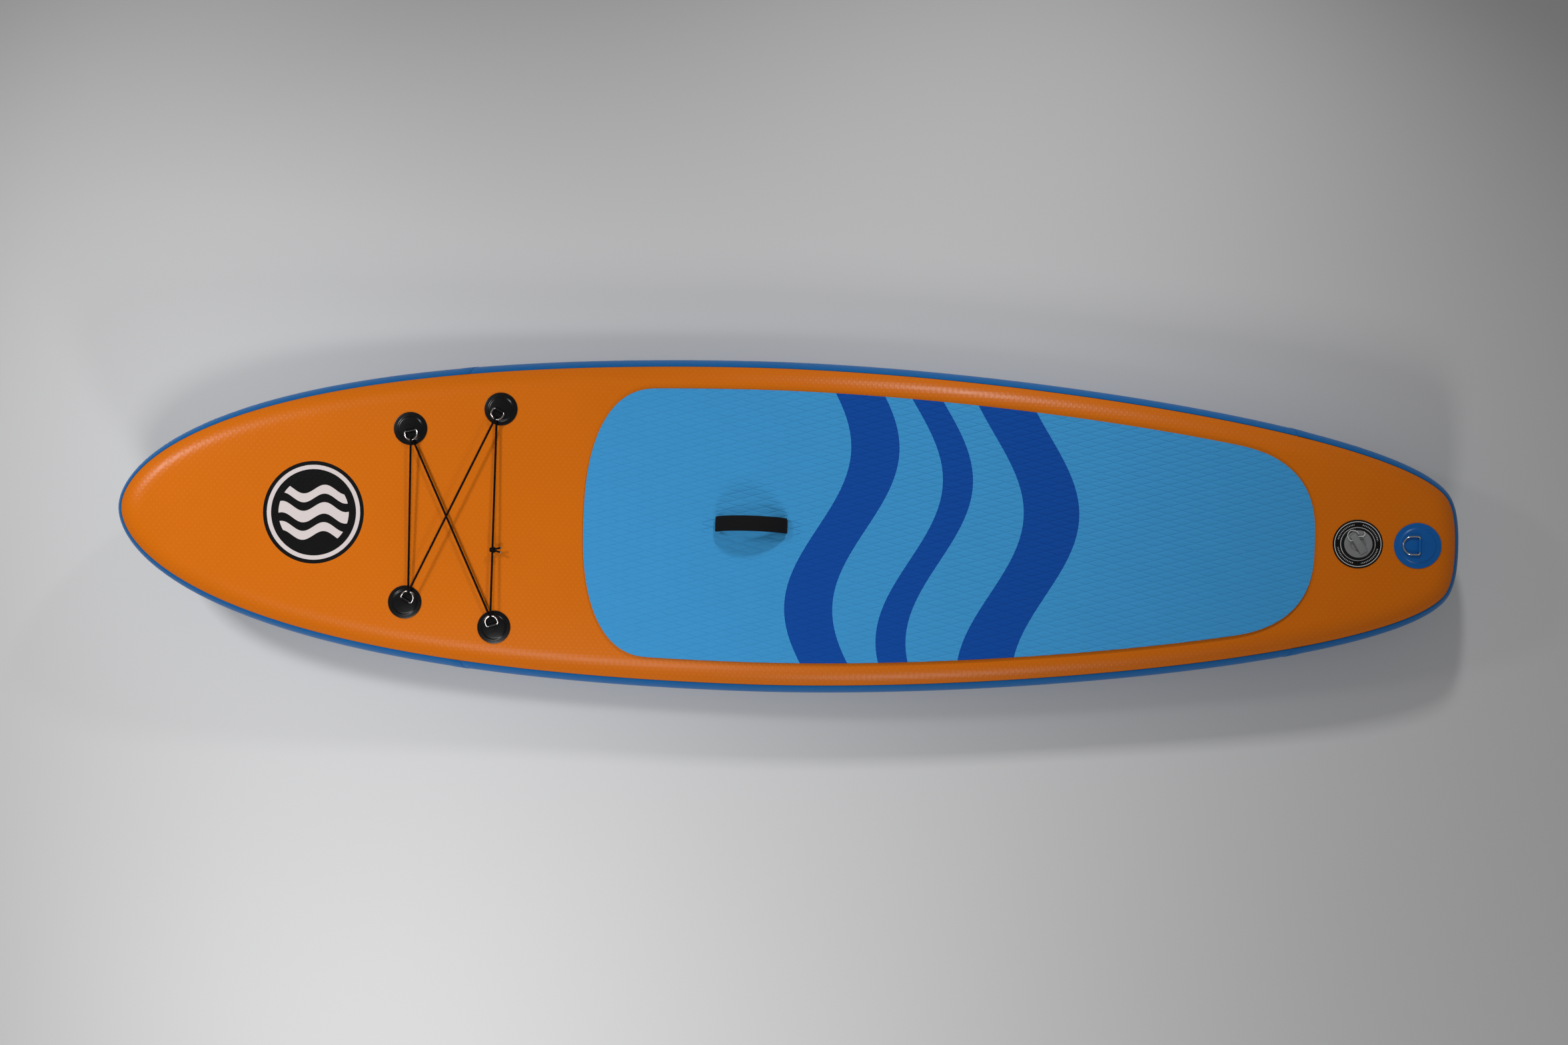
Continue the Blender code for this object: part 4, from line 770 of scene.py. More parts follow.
FEET = {"front": -1, "rear": 1}
HANDLE_X = NOSE_X + 1.517
STRAP_SLIT, STRAP_SLIT_HALF = (0.0835, 0.0875), 0.0160
FOOT_COVER, FOOT_COVER_HALF, FOOT_COVER_BASE = (0.0875, 0.1180), 0.0180, 0.0030
FOOT_LIFT, FOOT_MARGIN, FOOT_SLOPES = 0.0012, 0.0010, (0.0030, 0.0025, 0.0040)


def upright_box(name, near, far, half, low, high):
    """A box on the pad's middle line, from near to far of the handle's middle."""
    item = added(bpy.ops.mesh.primitive_cube_add, size=1.0,
                 location=(HANDLE_X + (near + far) / 2, 0.0, (low + high) / 2),
                 scale=(abs(far - near), 2 * half, high - low))
    item.name = name
    return item


pad_base = pad_sheet("pad_base", 0.0, GAP, GROOVE_FLOOR)
for way in FEET.values():
    cut(pad_base, upright_box("foot_window", way * STRAP_SLIT[0], way * FOOT_COVER[1], FOOT_COVER_HALF + GAP,
                              -0.02, 0.02))
print("pad length:", round(PAD_REAR - PAD_FRONT, 3))


# %% Diamonds of the pad
def picked(item, kind, test):
    """Go to edit mode with only the faces or edges selected that pass a test."""
    only(item)
    bpy.ops.object.mode_set(mode="EDIT")
    bpy.ops.mesh.select_mode(type=kind)
    bpy.ops.mesh.select_all(action="DESELECT")
    bpy.ops.object.mode_set(mode="OBJECT")
    for part in item.data.polygons if kind == "FACE" else item.data.edges:
        part.select = test(part)
    bpy.ops.object.mode_set(mode="EDIT")


def one_diamond(x, y):
    """One low scale of foam, steep on its port edges and gentle on the others."""
    floor = GROOVE_FLOOR - DIAMOND_BED
    tile = added(bpy.ops.mesh.primitive_cylinder_add, vertices=4, radius=0.5, depth=PAD_TOP - floor,
                 location=(x, y, (PAD_TOP + floor) / 2),
                 scale=(DIAMOND_LENGTH - DIAMOND_GAPS[0], DIAMOND_WIDTH - DIAMOND_GAPS[1], 1.0))
    picked(tile, "FACE", lambda face: face.normal.z > 0.9)
    bpy.ops.transform.resize(value=(*CROWN_SHARES, 1.0), center_override=(x, y, PAD_TOP))
    bpy.ops.transform.translate(value=(0.0, CROWN_SHIFT, 0.0))
    bpy.ops.mesh.bevel(offset=CROWN_EDGE, segments=1, affect="EDGES")
    bpy.ops.object.mode_set(mode="OBJECT")
    return tile


def diamond_field():
    """All diamonds of the pad in one mesh, its lattice turned a little as on the real pad."""
    steps_x = math.ceil((PAD_REAR - PAD_FRONT) / DIAMOND_LENGTH) + 2
    steps_y = 2 * math.ceil(LATTICE_HALF / DIAMOND_WIDTH)
    fields = []
    for shift in (0.0, 0.5):
        tile = one_diamond(PAD_FRONT + (shift - LATTICE_START) * DIAMOND_LENGTH,
                           (shift - steps_y / 2) * DIAMOND_WIDTH)
        for count, step in ((steps_x, (DIAMOND_LENGTH, 0.0, 0.0)), (steps_y + 1, (0.0, DIAMOND_WIDTH, 0.0))):
            applied(tile, "ARRAY", count=count, use_relative_offset=False, use_constant_offset=True,
                    constant_offset_displace=step)
        fields.append(tile)
    only(fields[0])
    fields[1].select_set(True)
    bpy.ops.object.join()
    middle = Matrix.Translation(((PAD_FRONT + PAD_REAR) / 2, 0.0, 0.0))
    fields[0].data.transform(middle @ Matrix.Rotation(LATTICE_TURN, 4, "Z") @ middle.inverted())
    return fields[0]


diamonds = diamond_field()
diamonds.name = diamonds.data.name = "pad_diamonds"
cut(diamonds, pad_sheet("pad_clip", 0.0012, GAP, 0.02), "INTERSECT", "MANIFOLD")
for way in FEET.values():
    slit = upright_box("strap_slit", way * STRAP_SLIT[0], way * STRAP_SLIT[1], STRAP_SLIT_HALF, -0.02, 0.02)
    cut(diamonds, slit, solver="MANIFOLD")
print("diamond faces:", len(diamonds.data.polygons))


# %% Foam laid on the deck
def bent_to_deck(item):
    """Lay a flat piece along the rocker, raised a little where it covers the handle's feet."""
    places = corners_of(item)
    from_handle = np.abs(places[:, 0] - HANDLE_X)
    insides = (from_handle - FOOT_COVER[0], FOOT_COVER[1] + FOOT_MARGIN - from_handle,
               FOOT_COVER_HALF + FOOT_MARGIN - np.abs(places[:, 1]))
    inner, outer, side = (np.clip(inside / slope, 0.0, 1.0) for inside, slope in zip(insides, FOOT_SLOPES))
    places[:, 2] += FOOT_LIFT * inner * outer * side * (places[:, 2] > FOOT_COVER_BASE - GAP)
    places[:, 2] += rocker(places[:, 0]) + THICKNESS
    return put_corners(item, places)


def foam_piece(item, degrees, *replaced):
    """Lay a piece of foam on the deck, smooth it unless it is a plain box, and dress it."""
    bent_to_deck(item)
    if degrees:
        smooth(item, degrees)
    dressed(item, foam, "pad_foam", "board", *replaced)


for label, way in FEET.items():
    cover = upright_box("foot_cover_" + label, way * FOOT_COVER[0], way * (FOOT_COVER[1] - GAP),
                        FOOT_COVER_HALF, FOOT_COVER_BASE, GROOVE_FLOOR)
    foam_piece(cover, 0.0, "handle_patch_" + label)
foam_piece(pad_base, 30.0, "deck_pad")
foam_piece(diamonds, 20.0)
print("foam pieces:", 2 + len(FEET))

# %% [markdown]
# ## The carry handle
#
# A strap is sewn flat at both ends and stands up in between, inside a padded sleeve. The route is a
# smooth curve through a few points seen from the side. The strap is a narrow grid laid along the route
# with a wall, and the sleeve is a grid closed into a rounded oblong tube along the same route.


# %% Route of the handle
def length_of(path):
    return sum((b - a).length for a, b in zip(path, path[1:]))


def smooth_route(points, count):
    """Evenly spaced points on a smooth curve through all the given points."""
    knots = [Vector(point) for point in points]
    padded = [2 * knots[0] - knots[1], *knots, 2 * knots[-1] - knots[-2]]
    fine = []
    for i in range(1, len(padded) - 2):
        before, here, there, after = padded[i - 1:i + 3]
        for step in range(24):
            t = step / 24
            fine.append(0.5 * (2 * here + (there - before) * t
                               + (2 * before - 5 * here + 4 * there - after) * t ** 2
                               + (3 * here - before - 3 * there + after) * t ** 3))
    fine.append(knots[-1])
    run = np.cumsum([0.0] + [(b - a).length for a, b in zip(fine, fine[1:])])
    wanted = np.linspace(0.0, run[-1], count)
    return [Vector([np.interp(value, run, [p[axis] for p in fine]) for axis in range(3)]) for value in wanted]


HANDLE = Vector((HANDLE_X, 0.0, THICKNESS))
HANDLE_RISE, HANDLE_LEAN = 0.046, 0.0055
STRAP_WIDTH, STRAP_WALL = 0.030, 0.002
half_route = [(0.116, 0.0013), (0.104, 0.0013), (0.092, 0.0013), (0.0882, 0.0017), (0.0862, 0.0032),
              (0.0851, 0.0065), (0.0846, 0.0100), (0.0826, 0.0145), (0.0697, 0.0267), (0.0459, 0.0386),
              (0.0221, 0.0446)]
route = [(-along, HANDLE_LEAN * up / HANDLE_RISE, up) for along, up in half_route]
route += [(0.0, HANDLE_LEAN, HANDLE_RISE)]
route += [(-x, y, up) for x, y, up in reversed(route[:-1])]
strap_route = smooth_route(route, 121)
print("strap length:", round(length_of(strap_route), 3))


# %% Strap
def ahead_at(path, i):
    """The direction along a path at one of its points."""
    return (path[min(i + 1, len(path) - 1)] - path[max(i - 1, 0)]).normalized()


def upright(path, i):
    """The direction off a path in the XZ plane."""
    ahead = ahead_at(path, i)
    return Vector((-ahead.z, 0.0, ahead.x))


def strap_place(row, column):
    across = STRAP_WIDTH * (column / 10 - 0.5)
    return HANDLE + strap_route[row] + upright(strap_route, row) * STRAP_WALL / 2 + Vector((0.0, across, 0.0))


strap = laid_grid("handle_strap", len(strap_route), 11, strap_place, (0.27, 1.0))
applied(strap, "SOLIDIFY", thickness=STRAP_WALL, offset=-1.0)
applied(strap, "BEVEL", width=0.0004, segments=2, limit_method="ANGLE")
dressed(smooth(strap), webbing, "webbing", "board", "handle_webbing")
print("strap faces:", len(strap.data.polygons))

# %% Padded sleeve
grip_route = smooth_route([p for p in strap_route if abs(p.x) <= 0.0842], 81)
GRIP_HALF, GRIP_DEEP, GRIP_SQUARENESS = 0.0185, 0.0035, 0.34
GRIP_PINCH, GRIP_CROWN, GRIP_WALL = 0.16, 0.12, 0.0022


def oblong(share):
    """A point on a rounded oblong, as (across, up)."""
    across, up = math.cos(math.tau * share), math.sin(math.tau * share)
    return (GRIP_HALF * math.copysign(abs(across) ** GRIP_SQUARENESS, across),
            GRIP_DEEP * math.copysign(abs(up) ** GRIP_SQUARENESS, up))


def grip_place(row, column):
    end = min(row, len(grip_route) - 1 - row)
    puff = 1.0 - GRIP_PINCH * max(0.0, 1.0 - end / 3.0) ** 2
    across, up = oblong(column / 56)
    crown = 1.0 + GRIP_CROWN * math.cos(math.pi * across / (2 * GRIP_HALF))
    rise = upright(grip_route, row) * up * puff * crown
    return HANDLE + grip_route[row] + Vector((0.0, across, 0.0)) + rise


grip = laid_grid("handle_sleeve", len(grip_route), 57, grip_place, (0.18, 1.0))
applied(grip, "SOLIDIFY", thickness=GRIP_WALL, offset=-1.0)
dressed(smooth(grip, 50.0), neoprene, "neoprene", "board", "handle_grip")
print("sleeve length:", round(length_of(grip_route), 3))

# %% [markdown]
# ## D-ring patches
#
# Each ring hangs on a round patch: a moulded disc with a raised middle, a short strap folded over the
# ring's bar, and the bent wire ring. The ring's joint gives the bar's middle and line, and the rocker gives
# the way up from the deck there. From these comes a matrix for each patch, so one recipe serves all five.
# Discs are turned by spinning a profile.

# %% Patch places
COVER_TOP, BAR_HEIGHT, WIRE = 0.0042, 0.00795, 0.0020
BORE, HUMP = WIRE + 0.00035, WIRE + 0.00145
TAB_FOOT, TAB_BED, TAB_EDGE = 0.0053, 0.0001, 0.0007
FLAT_SINE, FLAT_COSINE = 0.55, 0.835
PATCHES = dict.fromkeys(("front_starboard", "rear_starboard", "front_port", "rear_port"),
                        dict(radius=0.040, step=0.029, inner=0.025, depth=0.0235, tab=0.0210, offset=0.0055,
                             tilt=math.radians(15.0)))
leash_tilt = -math.asin((BAR_HEIGHT - COVER_TOP - WIRE - GAP) / 0.0370)
PATCHES["leash"] = dict(radius=0.0535, step=0.0405, inner=0.0380, depth=0.0370, tab=0.0310, offset=-0.0030,
                        tilt=leash_tilt)


def seat_place(stem):
    """The frame of a ring's bar on the deck: X the way its bow points, Y along the bar, Z up."""
    joint = joints[stem + "_ring_swing"]
    bar = Vector(joint["pos_m"])
    side = -Vector(joint["axis"]).normalized()
    slope = float(rocker(bar.x + 0.001) - rocker(bar.x - 0.001)) / 0.002
    up = Vector((-slope, 0.0, 1.0))
    up = (up - up.dot(side) * side).normalized()
    return frame_of(bar, side.cross(up), side, up)


ring_places, disc_places = {}, {}
for stem, facts in PATCHES.items():
    seat = seat_place(stem)
    ring_places[stem] = seat @ Matrix.Rotation(-facts["tilt"], 4, "Y")
    disc_places[stem] = seat @ Matrix.Translation((-facts["offset"], 0.0, -BAR_HEIGHT))
print("patches:", ", ".join(PATCHES))


# %% Turned discs
def turned(name, profile, steps=96):
    """A closed body turned about Z from (radius, height) points."""
    mesh = bpy.data.meshes.new(name)
    mesh.from_pydata([(radius, 0.0, height) for radius, height in profile],
                     [(i, (i + 1) % len(profile)) for i in range(len(profile))], [])
    item = bpy.data.objects.new(name, mesh)
    bpy.context.scene.collection.objects.link(item)
    only(item)
    bpy.ops.object.mode_set(mode="EDIT")
    bpy.ops.mesh.select_all(action="SELECT")
    bpy.ops.mesh.spin(steps=steps, angle=math.tau, center=(0.0, 0.0, 0.0), axis=(0.0, 0.0, 1.0))
    bpy.ops.object.mode_set(mode="OBJECT")
    tidy(item, 1e-5)
    return item


def patch_disc(stem, facts):
    """The moulded disc: thin brim, sloping step, flat raised middle."""
    radius, step, brim = facts["radius"], facts["step"], GAP + 0.0012
    item = turned(stem + "_disc", [(0.0, GAP), (radius - 0.0003, GAP), (radius, GAP + 0.0004),
                                   (radius - 0.0002, brim - 0.0002), (radius - 0.0009, brim),
                                   (step + 0.0034, brim), (step + 0.0018, brim + 0.0003),
                                   (step + 0.0006, brim + 0.0010), (step - 0.0006, brim + 0.0018),
                                   (step - 0.0018, COVER_TOP - 0.0003), (step - 0.0034, COVER_TOP),
                                   (0.0, COVER_TOP)])
    item.data.transform(disc_places[stem])
    return smooth(item, 40.0)


# %% Tab folded over the bar
def folded_tab(stem, facts):
    """The strap folded over the bar: a hump with its two feet on the disc."""
    count = 48
    rows = [(-0.5, "outer"), (0.5, "outer"), (0.5, "bore"), (-0.5, "bore"), (-0.5, "outer")]

    def section(kind, share):
        angle = math.tau * share - math.pi / 2
        ahead, up = math.cos(angle), math.sin(angle)
        if kind == "bore":
            return (BORE * ahead, BAR_HEIGHT + BORE * up)
        if up < -FLAT_SINE:
            return (max(-TAB_FOOT, min(TAB_FOOT, TAB_FOOT * ahead / FLAT_COSINE)), COVER_TOP + TAB_BED)
        if up < 0.0:
            fall = -up / FLAT_SINE
            return (math.copysign(HUMP + (TAB_FOOT - HUMP) * fall ** 3, ahead),
                    BAR_HEIGHT - (BAR_HEIGHT - COVER_TOP - TAB_EDGE) * fall)
        return (HUMP * ahead, BAR_HEIGHT + HUMP * up)

    def place(row, column):
        along, kind = rows[row]
        ahead, up = section(kind, column / count)
        return disc_places[stem] @ Vector((facts["offset"] + ahead, along * facts["tab"], up))

    return smooth(laid_grid(stem + "_fold", len(rows), count + 1, place, (0.03, 0.02)), 40.0)


# %% Rings
def wire_ring(stem, facts):
    """A bent and welded D-ring."""
    half, corner = facts["inner"] / 2 + WIRE, 2 * WIRE
    straight = max(facts["depth"] - half, corner + 0.001)
    bar = [(0.0, y) for y in np.linspace(-half + corner + 0.001, half - corner - 0.001, 8)]
    bend = [(corner * (1 - math.cos(a)), half - corner * (1 - math.sin(a)))
            for a in np.linspace(0.0, math.pi / 2, 9)[1:]]
    bow = [(straight + (facts["depth"] - straight) * math.cos(a), half * math.sin(a))
           for a in np.linspace(math.pi / 2, -math.pi / 2, 49)]
    line = bar + bend + bow + [(x, -y) for x, y in reversed(bend)]
    path = [Vector((x, y, 0.0)) for x, y in line]
    count = len(path)

    def place(row, column):
        here = path[row % count]
        ahead = (path[(row + 1) % count] - path[(row - 1) % count]).normalized()
        out = Vector((ahead.y, -ahead.x, 0.0))
        angle = math.tau * column / 20
        return ring_places[stem] @ (here + WIRE * (out * math.cos(angle) + Vector((0, 0, math.sin(angle)))))

    return smooth(laid_grid(stem + "_wire", count + 1, 21, place, (0.1, 0.012)), 60.0)


for stem, facts in PATCHES.items():
    vinyl, slot = (leash_vinyl, "patch_blue") if stem == "leash" else (patch_vinyl, "patch_black")
    dressed(patch_disc(stem, facts), vinyl, slot, "board", stem + "_cover")
    dressed(folded_tab(stem, facts), vinyl, slot, "board", stem + "_tab")
    dressed(wire_ring(stem, facts), steel, "ring_steel", stem + "_ring", stem + "_ring")
print("rings:", len(PATCHES))

# %% [markdown]
# ## The shock cord
#
# One elastic cord runs round the bows of four rings and is knotted on itself. Between rings it is straight,
# because it is stretched, and at each ring it takes half a turn round the wire. It is made as four tubes,
# one for each ring, that meet in the middle of the straight runs. The knot is three wraps with two short
# ends.

# %% Cord route
CORD, KNOT_CORD, KNOT_SIDE = 0.0025, 0.0023, -0.0775
WRAP = WIRE + GAP + CORD


def ring_bow(stem):
    """Middle and radius of the ring's bow, and its three directions."""
    place, facts = ring_places[stem], PATCHES[stem]
    radius = facts["inner"] / 2 + WIRE
    turn = place.to_3x3()
    return place @ Vector((facts["depth"] - radius, 0.0, 0.0)), radius, [turn.col[k].copy() for k in range(3)]


def half_turn(stem, before, after, enters_above, steps=20):
    """Points of the cord's half turn round a ring on its way between two others."""
    centre, radius, (ahead, across, _) = ring_bow(stem)
    ends = [(ring_bow(other)[0] - centre).normalized() for other in (before, after)]
    pull = (ends[0] + ends[1]).normalized()
    turn = math.atan2(pull.dot(across), pull.dot(ahead))
    wire = centre + radius * (math.cos(turn) * ahead + math.sin(turn) * across)
    tangent = math.cos(turn) * across - math.sin(turn) * ahead
    out = (pull - pull.dot(tangent) * tangent).normalized()
    above = out.cross(tangent)
    above *= math.copysign(1.0, above.z)
    side = 1.0 if enters_above else -1.0
    drift = side * ends[0].dot(tangent) * tangent
    angles = [side * (math.pi / 2 - math.pi * step / steps) for step in range(steps + 1)]
    return [wire + WRAP * (math.sin(angle) * above - math.cos(angle) * out + angle * drift)
            for angle in angles]


LACING = (("rear_port", "rear_starboard", "front_starboard", True),
          ("front_starboard", "rear_port", "front_port", False),
          ("front_port", "front_starboard", "rear_starboard", False),
          ("rear_starboard", "front_port", "rear_port", True))
turns = [half_turn(*leg) for leg in LACING]
print("cord turns:", len(turns))


# %% Cord tubes
def capped(item):
    """Close the open ends of a tube."""
    only(item)
    bpy.ops.object.mode_set(mode="EDIT")
    bpy.ops.mesh.select_all(action="SELECT")
    bpy.ops.mesh.fill_holes(sides=0)
    bpy.ops.mesh.normals_make_consistent(inside=False)
    bpy.ops.object.mode_set(mode="OBJECT")
    return item


def tube(name, path, radius, sides=14):
    """A round tube along a path, with a steady turn and closed ends."""
    frames, normal = [], ahead_at(path, 0).orthogonal()
    for i in range(len(path)):
        ahead = ahead_at(path, i)
        normal = (normal - normal.dot(ahead) * ahead).normalized()
        frames.append((normal, ahead.cross(normal)))

    def place(row, column):
        angle = math.tau * column / sides
        first, second = frames[row]
        return path[row] + radius * (first * math.cos(angle) + second * math.sin(angle))

    return smooth(capped(laid_grid(name, len(path), sides + 1, place, (length_of(path), 1.0))), 60.0)


def straight(start, stop, step=0.004):
    count = max(2, int((stop - start).length / step))
    return [start.lerp(stop, k / count) for k in range(1, count)]


for index, (leg, turn) in enumerate(zip(LACING, turns)):
    stem = leg[0]
    before, after = turns[index - 1][-1], turns[(index + 1) % 4][0]
    start, stop = (before + turn[0]) / 2, (turn[-1] + after) / 2
    path = [start] + straight(start, turn[0]) + turn + straight(turn[-1], stop) + [stop]
    piece = tube("shock_cord_" + stem, path, CORD)
    dressed(piece, braid, "shock_cord", None, *(["bungee_cord"] if index == 0 else []))
    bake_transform(piece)
print("cord pieces:", len(LACING))

# %% Knot
strand_start, strand_end = turns[3][-1], turns[0][0]
strand = (strand_end - strand_start).normalized()
knot_middle = strand_start + strand * (KNOT_SIDE - strand_start.y) / strand.y
sideways = strand.cross(Vector((0.0, 0.0, 1.0))).normalized()
sideways *= math.copysign(1.0, sideways.x)
lift = sideways.cross(strand).normalized()
lift *= math.copysign(1.0, lift.z)
WRAPS, WRAP_STEPS = 3, 20
KNOT_REACH, KNOT_SWELL, KNOT_LENGTH = 0.0041, 0.0012, 0.0092
END_ROOT, END_LENGTH, END_GAP, END_SPREAD, END_LIFT = 0.0085, 0.0125, 0.0024, 0.27, 0.0014


def knot_route():
    """Tip, root, three wraps round the strand drawn up into a ball, root, tip."""
    route = []
    for k in range(WRAPS * WRAP_STEPS + 1):
        share = k / (WRAPS * WRAP_STEPS)
        angle = math.tau * WRAPS * share
        reach = KNOT_REACH + KNOT_SWELL * math.sin(math.pi * share)
        drift = (share - 0.5) * KNOT_LENGTH
        route.append(knot_middle + strand * drift
                     + reach * (sideways * math.cos(angle) + lift * math.sin(angle)))
    ends = []
    for side in (-1, 1):
        start = knot_middle + sideways * END_ROOT + strand * (side * END_GAP)
        way = (sideways + strand * (side * END_SPREAD)).normalized()
        ends.append([start + way * (END_LENGTH * k / 4) + lift * (side * END_LIFT * k / 4)
                     for k in range(5)])
    return list(reversed(ends[0])) + route + ends[1]


knot_path = smooth_route(knot_route(), 170)
knot = tube("shock_cord_knot", knot_path, KNOT_CORD)
dressed(knot, braided("cord_braid_cut", length_of(knot_path)), "shock_cord", "board", "bungee_knot")
print("knot at", [round(v, 3) for v in knot_middle])

# %% [markdown]
# ## The inflation valve
#
# A round housing is clamped through the deck over a printed ring. A grey cap with a finger bar closes it,
# and a thin tether keeps the cap. All of it is turned on one axis, so each part is a profile spun at the
# origin and carried into place. The cap has a round hollow for two fingertips. The bar across it is a cube
# that is divided along its length, tapered, bevelled and joined to the cap.

# %% Printed ring of the valve
PRINTED_CIRCLES, LINE_HALF = (0.0526, 0.0391), 0.0008
TICK_RADIUS, TICK_HALF, TICKS, TICK_SHARE = 0.0458, 0.0015, 72, 0.38
label_print = Finish("valve_print", 0.42, Specular_IOR_Level=0.2)
x, y, _ = label_print.axes()
out, side = x - valve_place.translation.x, y - valve_place.translation.y
radius = (out * out + side * side) ** 0.5
angle = side.math("ARCTAN2", out)
circles = either(*((radius - printed).size() < LINE_HALF for printed in PRINTED_CIRCLES))
ticks = (angle * (TICKS / math.tau)).fraction() < TICK_SHARE
ticks = ticks * ((radius - TICK_RADIUS).size() < TICK_HALF)
groups = (angle * (4 / math.tau) + 0.12).fraction() > 0.24
label_black = label_print.mottled((0.0035, 0.0035, 0.0037), 0.06, 80.0)
label_print.colour(mix_colour(either(circles, ticks * groups), label_black, (0.62, 0.62, 0.61, 1.0)))
label_print.roughness(0.36 + 0.12 * label_print.noise(120.0, 3.0))
label = turned("valve_ring_print", [(NECK_HOLE, GAP), (0.0570, GAP), (0.0572, GAP + 0.0003),
                                    (0.0569, 0.0009), (NECK_HOLE, 0.0009)], 128)
label.data.transform(valve_place)
dressed(smooth(label, 25.0), label_print, "valve_label", "board", "valve_label")
print("printed circles at", PRINTED_CIRCLES)

# %% Housing and cap
housing = turned("valve_housing",
                 [(0.0250, -0.0300), (0.0250, 0.0012), (0.0369, 0.0012), (0.0376, 0.0020), (0.0376, 0.0046),
                  (0.0373, 0.0053), (0.0366, 0.0056), (0.0335, 0.0056), (0.0329, 0.0052), (0.0328, 0.0032),
                  (0.0212, 0.0032), (0.0210, 0.0030), (0.0210, -0.0160), (0.0125, -0.0160), (0.0125, -0.0220),
                  (0.0190, -0.0220), (0.0190, -0.0300)])
housing.data.transform(valve_place)
dressed(smooth(housing, 25.0), black_plastic, "valve_black", "board", "valve_body")

cap = turned("valve_lid",
             [(0.0, 0.0030), (0.0174, 0.0030), (0.0174, -0.0060), (0.0200, -0.0060), (0.0204, -0.0056),
              (0.0204, -0.0021), (0.0188, -0.0021), (0.0188, 0.0001), (0.0204, 0.0001), (0.0204, 0.0035),
              (0.0318, 0.0035), (0.0322, 0.0039), (0.0322, 0.0056), (0.0319, 0.0062), (0.0312, 0.0067),
              (0.0302, 0.0070), (0.0240, 0.0069), (0.0187, 0.0066), (0.0180, 0.0062), (0.0170, 0.0047),
              (0.0164, 0.0042), (0.0, 0.0042)])
print("cap faces before its bar:", len(cap.data.polygons))


# %% Finger bar of the cap
BAR_REACH, BAR_HEADING = 0.02475, math.radians(-57.1)
BAR_WIDTH, BAR_WIDENING, BAR_TOP, BAR_DROP, BAR_BOTTOM = 0.0150, 0.0035, 0.0118, 0.0028, 0.0036
EYE_HEIGHT, EYE_AHEAD, EYE_RADIUS = 0.0091, -0.0146, 0.0014


def edge_reach(item, edge):
    """How far an edge runs along X."""
    first, second = (item.data.vertices[index].co for index in edge.vertices)
    return abs(first.x - second.x)


def finger_bar():
    """A tapering bar with a crowned top."""
    bar = added(bpy.ops.mesh.primitive_cube_add, size=1.0, scale=(2 * BAR_REACH, 1.0, 1.0))
    picked(bar, "EDGE", lambda edge: edge_reach(bar, edge) > 0.01)
    bpy.ops.mesh.subdivide(number_cuts=15)
    bpy.ops.object.mode_set(mode="OBJECT")
    corners = corners_of(bar)
    share = corners[:, 0] / BAR_REACH
    half = (BAR_WIDTH + BAR_WIDENING * (share + 1.0) / 2) / 2
    corners[:, 1] = np.copysign(half, corners[:, 1])
    corners[:, 2] = np.where(corners[:, 2] > 0.0, BAR_TOP - BAR_DROP * share ** 2, BAR_BOTTOM)
    put_corners(bar, corners)
    applied(bar, "BEVEL", width=0.0012, segments=3, limit_method="ANGLE", angle_limit=math.radians(50.0))
    return bar


bar = finger_bar()
bar.data.transform(Matrix.Rotation(BAR_HEADING, 4, "Z"))
cut(cap, bar, "UNION")
bar_way = Vector((math.cos(BAR_HEADING), math.sin(BAR_HEADING), 0.0))
bar_side = Vector((-bar_way.y, bar_way.x, 0.0))
needle = added(bpy.ops.mesh.primitive_cylinder_add, vertices=32, radius=EYE_RADIUS, depth=0.028)
hole_turn = bar_side.to_track_quat("Z", "X").to_matrix().to_4x4()
needle.data.transform(Matrix.Translation(bar_way * EYE_AHEAD + Vector((0.0, 0.0, EYE_HEIGHT))) @ hole_turn)
cut(cap, needle)
cap.data.transform(valve_place)
dressed(smooth(cap, 28.0), grey_plastic, "valve_grey", "cap", "valve_cap")

CAP_TOP, LINE_RADIUS = 0.0070, 0.0009
REST = CAP_TOP + GAP + LINE_RADIUS
TETHER = [(-0.0190, 0.0255, REST), (-0.0130, 0.0245, REST + 0.0012), (-0.0102, 0.0185, REST + 0.0016),
          (-0.0130, 0.0130, EYE_HEIGHT), (EYE_AHEAD, 0.0085, EYE_HEIGHT), (EYE_AHEAD, 0.0, EYE_HEIGHT),
          (EYE_AHEAD, -0.0085, EYE_HEIGHT), (-0.0170, -0.0120, EYE_HEIGHT), (-0.0240, -0.0128, EYE_HEIGHT),
          (-0.0320, -0.0098, 0.0095), (-0.0362, -0.0010, 0.0097), (-0.0330, 0.0075, 0.0095),
          (-0.0265, 0.0120, EYE_HEIGHT), (-0.0205, 0.0128, REST)]
tether_route = [valve_place @ (bar_way * a + bar_side * b + Vector((0.0, 0.0, up))) for a, b, up in TETHER]
tether = tube("valve_tether_line", smooth_route(tether_route, 110), LINE_RADIUS, 12)
dressed(tether, clear_line, "tether", "cap", "valve_tether")
print("tether points:", len(tether_route))

# %% [markdown]
# ## The valve's spring
#
# Under the cap a small stem keeps the air in, and a coil spring holds it up. Pushing the stem squeezes the
# spring, so a rigid coil would be left behind and cut through the stem's button. The imported spring gives
# the coil's two heights. The coil is a tube along a helix.

# %% Coil spring of the valve stem
to_valve = valve_place.inverted()
heights = [(to_valve @ corner.co).z for corner in nodes["valve_spring"].data.vertices]
SPRING_WIRE, SPRING_RADIUS, SPRING_TURNS, FLAT_SHARE = 0.0004, 0.0035, 4, 0.12
spring_low, spring_high = min(heights) + SPRING_WIRE, max(heights) - SPRING_WIRE


def on_axis(height, x=0.0, y=0.0):
    """A place at a height over the valve's middle, or beside it."""
    return valve_place @ Vector((x, y, height))


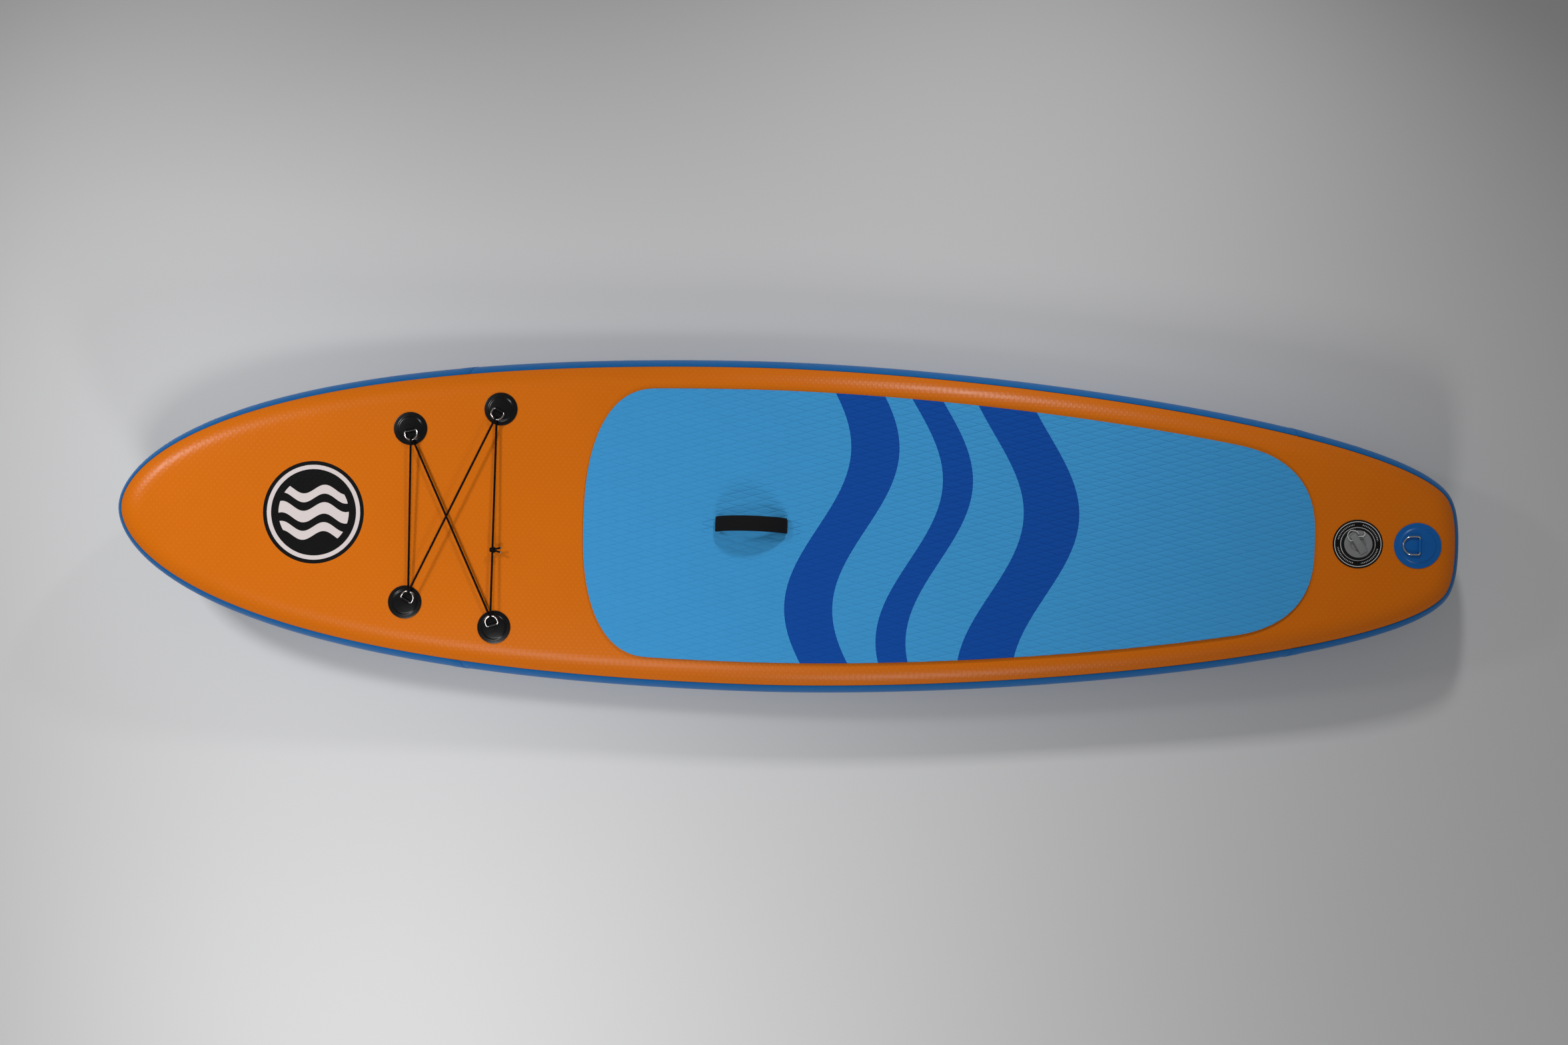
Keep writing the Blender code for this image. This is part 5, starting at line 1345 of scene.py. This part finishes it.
def coil_point(share):
    """A point of the coil, from its foot at 0 to its head at 1, with a flat turn at each end."""
    angle = math.tau * SPRING_TURNS * share
    level = min(1.0, max(0.0, (share - FLAT_SHARE) / (1.0 - 2 * FLAT_SHARE)))
    return on_axis(spring_low + (spring_high - spring_low) * level, SPRING_RADIUS * math.cos(angle),
                   SPRING_RADIUS * math.sin(angle))


spring = tube("valve_coil", [coil_point(k / 128) for k in range(129)], SPRING_WIRE, 8)
dressed(spring, steel, "spring_steel", None, "valve_spring")
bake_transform(spring)
print("spring length in mm:", round(1000 * (spring_high - spring_low), 2))

# %% [markdown]
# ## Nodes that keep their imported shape
#
# The inner pieces and the fin box already have the right shape, so they only need a finish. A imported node
# is never moved or reshaped. Its material slots are filled instead, from parts of the nodes' names. Where
# two parts fit a name, the one further down the list holds.

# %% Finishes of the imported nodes
NODE_FINISHES = {"side_wall": black_plastic, "drop_stitch": thread, "backing": patch_vinyl,
                 "valve_nut": black_plastic, "valve_stem": grey_plastic, "valve_stem_seal": rubber,
                 "valve_cap_seal": rubber, "fin_box": black_plastic, "fin_box_patch": blue_fabric}
plain = set()
for part, finish in NODE_FINISHES.items():
    for name in (name for name in nodes if part in name):
        item = nodes[name]
        if not item.material_slots:
            item.data.materials.append(finish.material)
        for slot in item.material_slots:
            slot.material = finish.material
        plain.add(name)
print("packed nodes with a new finish:", len(plain))

# %% [markdown]
# ## Floor and light
#
# The board lies on a plain pale floor under four softboxes. The one off the starboard side throws the
# shadows to port and leaves a soft highlight along the rolled edge. The one beyond the nose makes the nose
# the brightest end. Two larger ones to port open the shadows. A grid on each box narrows its beam, which
# Blender calls spread, and a pale world fills in from all round.

# %% Floor
floor = added(bpy.ops.mesh.primitive_plane_add, size=60.0)
floor.name = "floor"
floor_paint = plain_finish("floor_paint", 0.85, (0.67, 0.67, 0.675), (0.008, 1.5), Specular_IOR_Level=0.2)
floor.data.materials.append(floor_paint.material)


# %% Softboxes
def softbox(name, place, target, size, power, beam):
    """A soft square light that faces a target through a grid."""
    data = bpy.data.lights.new(name, "AREA")
    data.shape = "SQUARE"
    data.size = size
    data.energy = power
    data.spread = math.radians(beam)
    item = bpy.data.objects.new(name, data)
    item.location = place
    item.rotation_euler = (Vector(target) - Vector(place)).to_track_quat("-Z", "Y").to_euler()
    item.visible_camera = False
    bpy.context.scene.collection.objects.link(item)


softbox("starboard_softbox", (0.73, 2.30, 1.79), (0.38, -1.18, 0.0), 0.25, 10.1, 94.0)
softbox("nose_softbox", (-2.30, 1.06, 2.12), (-1.21, 0.01, 0.0), 0.40, 8.3, 94.0)
softbox("port_fore_softbox", (-0.83, -1.71, 2.66), (-1.26, -1.38, 0.0), 0.80, 12.7, 100.0)
softbox("port_aft_softbox", (0.76, -4.07, 2.40), (0.31, -1.25, 0.0), 0.90, 36.8, 165.0)
world = bpy.data.worlds.new("studio")
bpy.context.scene.world = world
world.use_nodes = True
sky = world.node_tree.nodes["Background"].inputs
sky["Color"].default_value = (1.0, 1.0, 1.0, 1.0)
sky["Strength"].default_value = 0.186
bpy.context.scene.view_settings.view_transform = "Standard"
print("lights: 4 softboxes and a pale world")
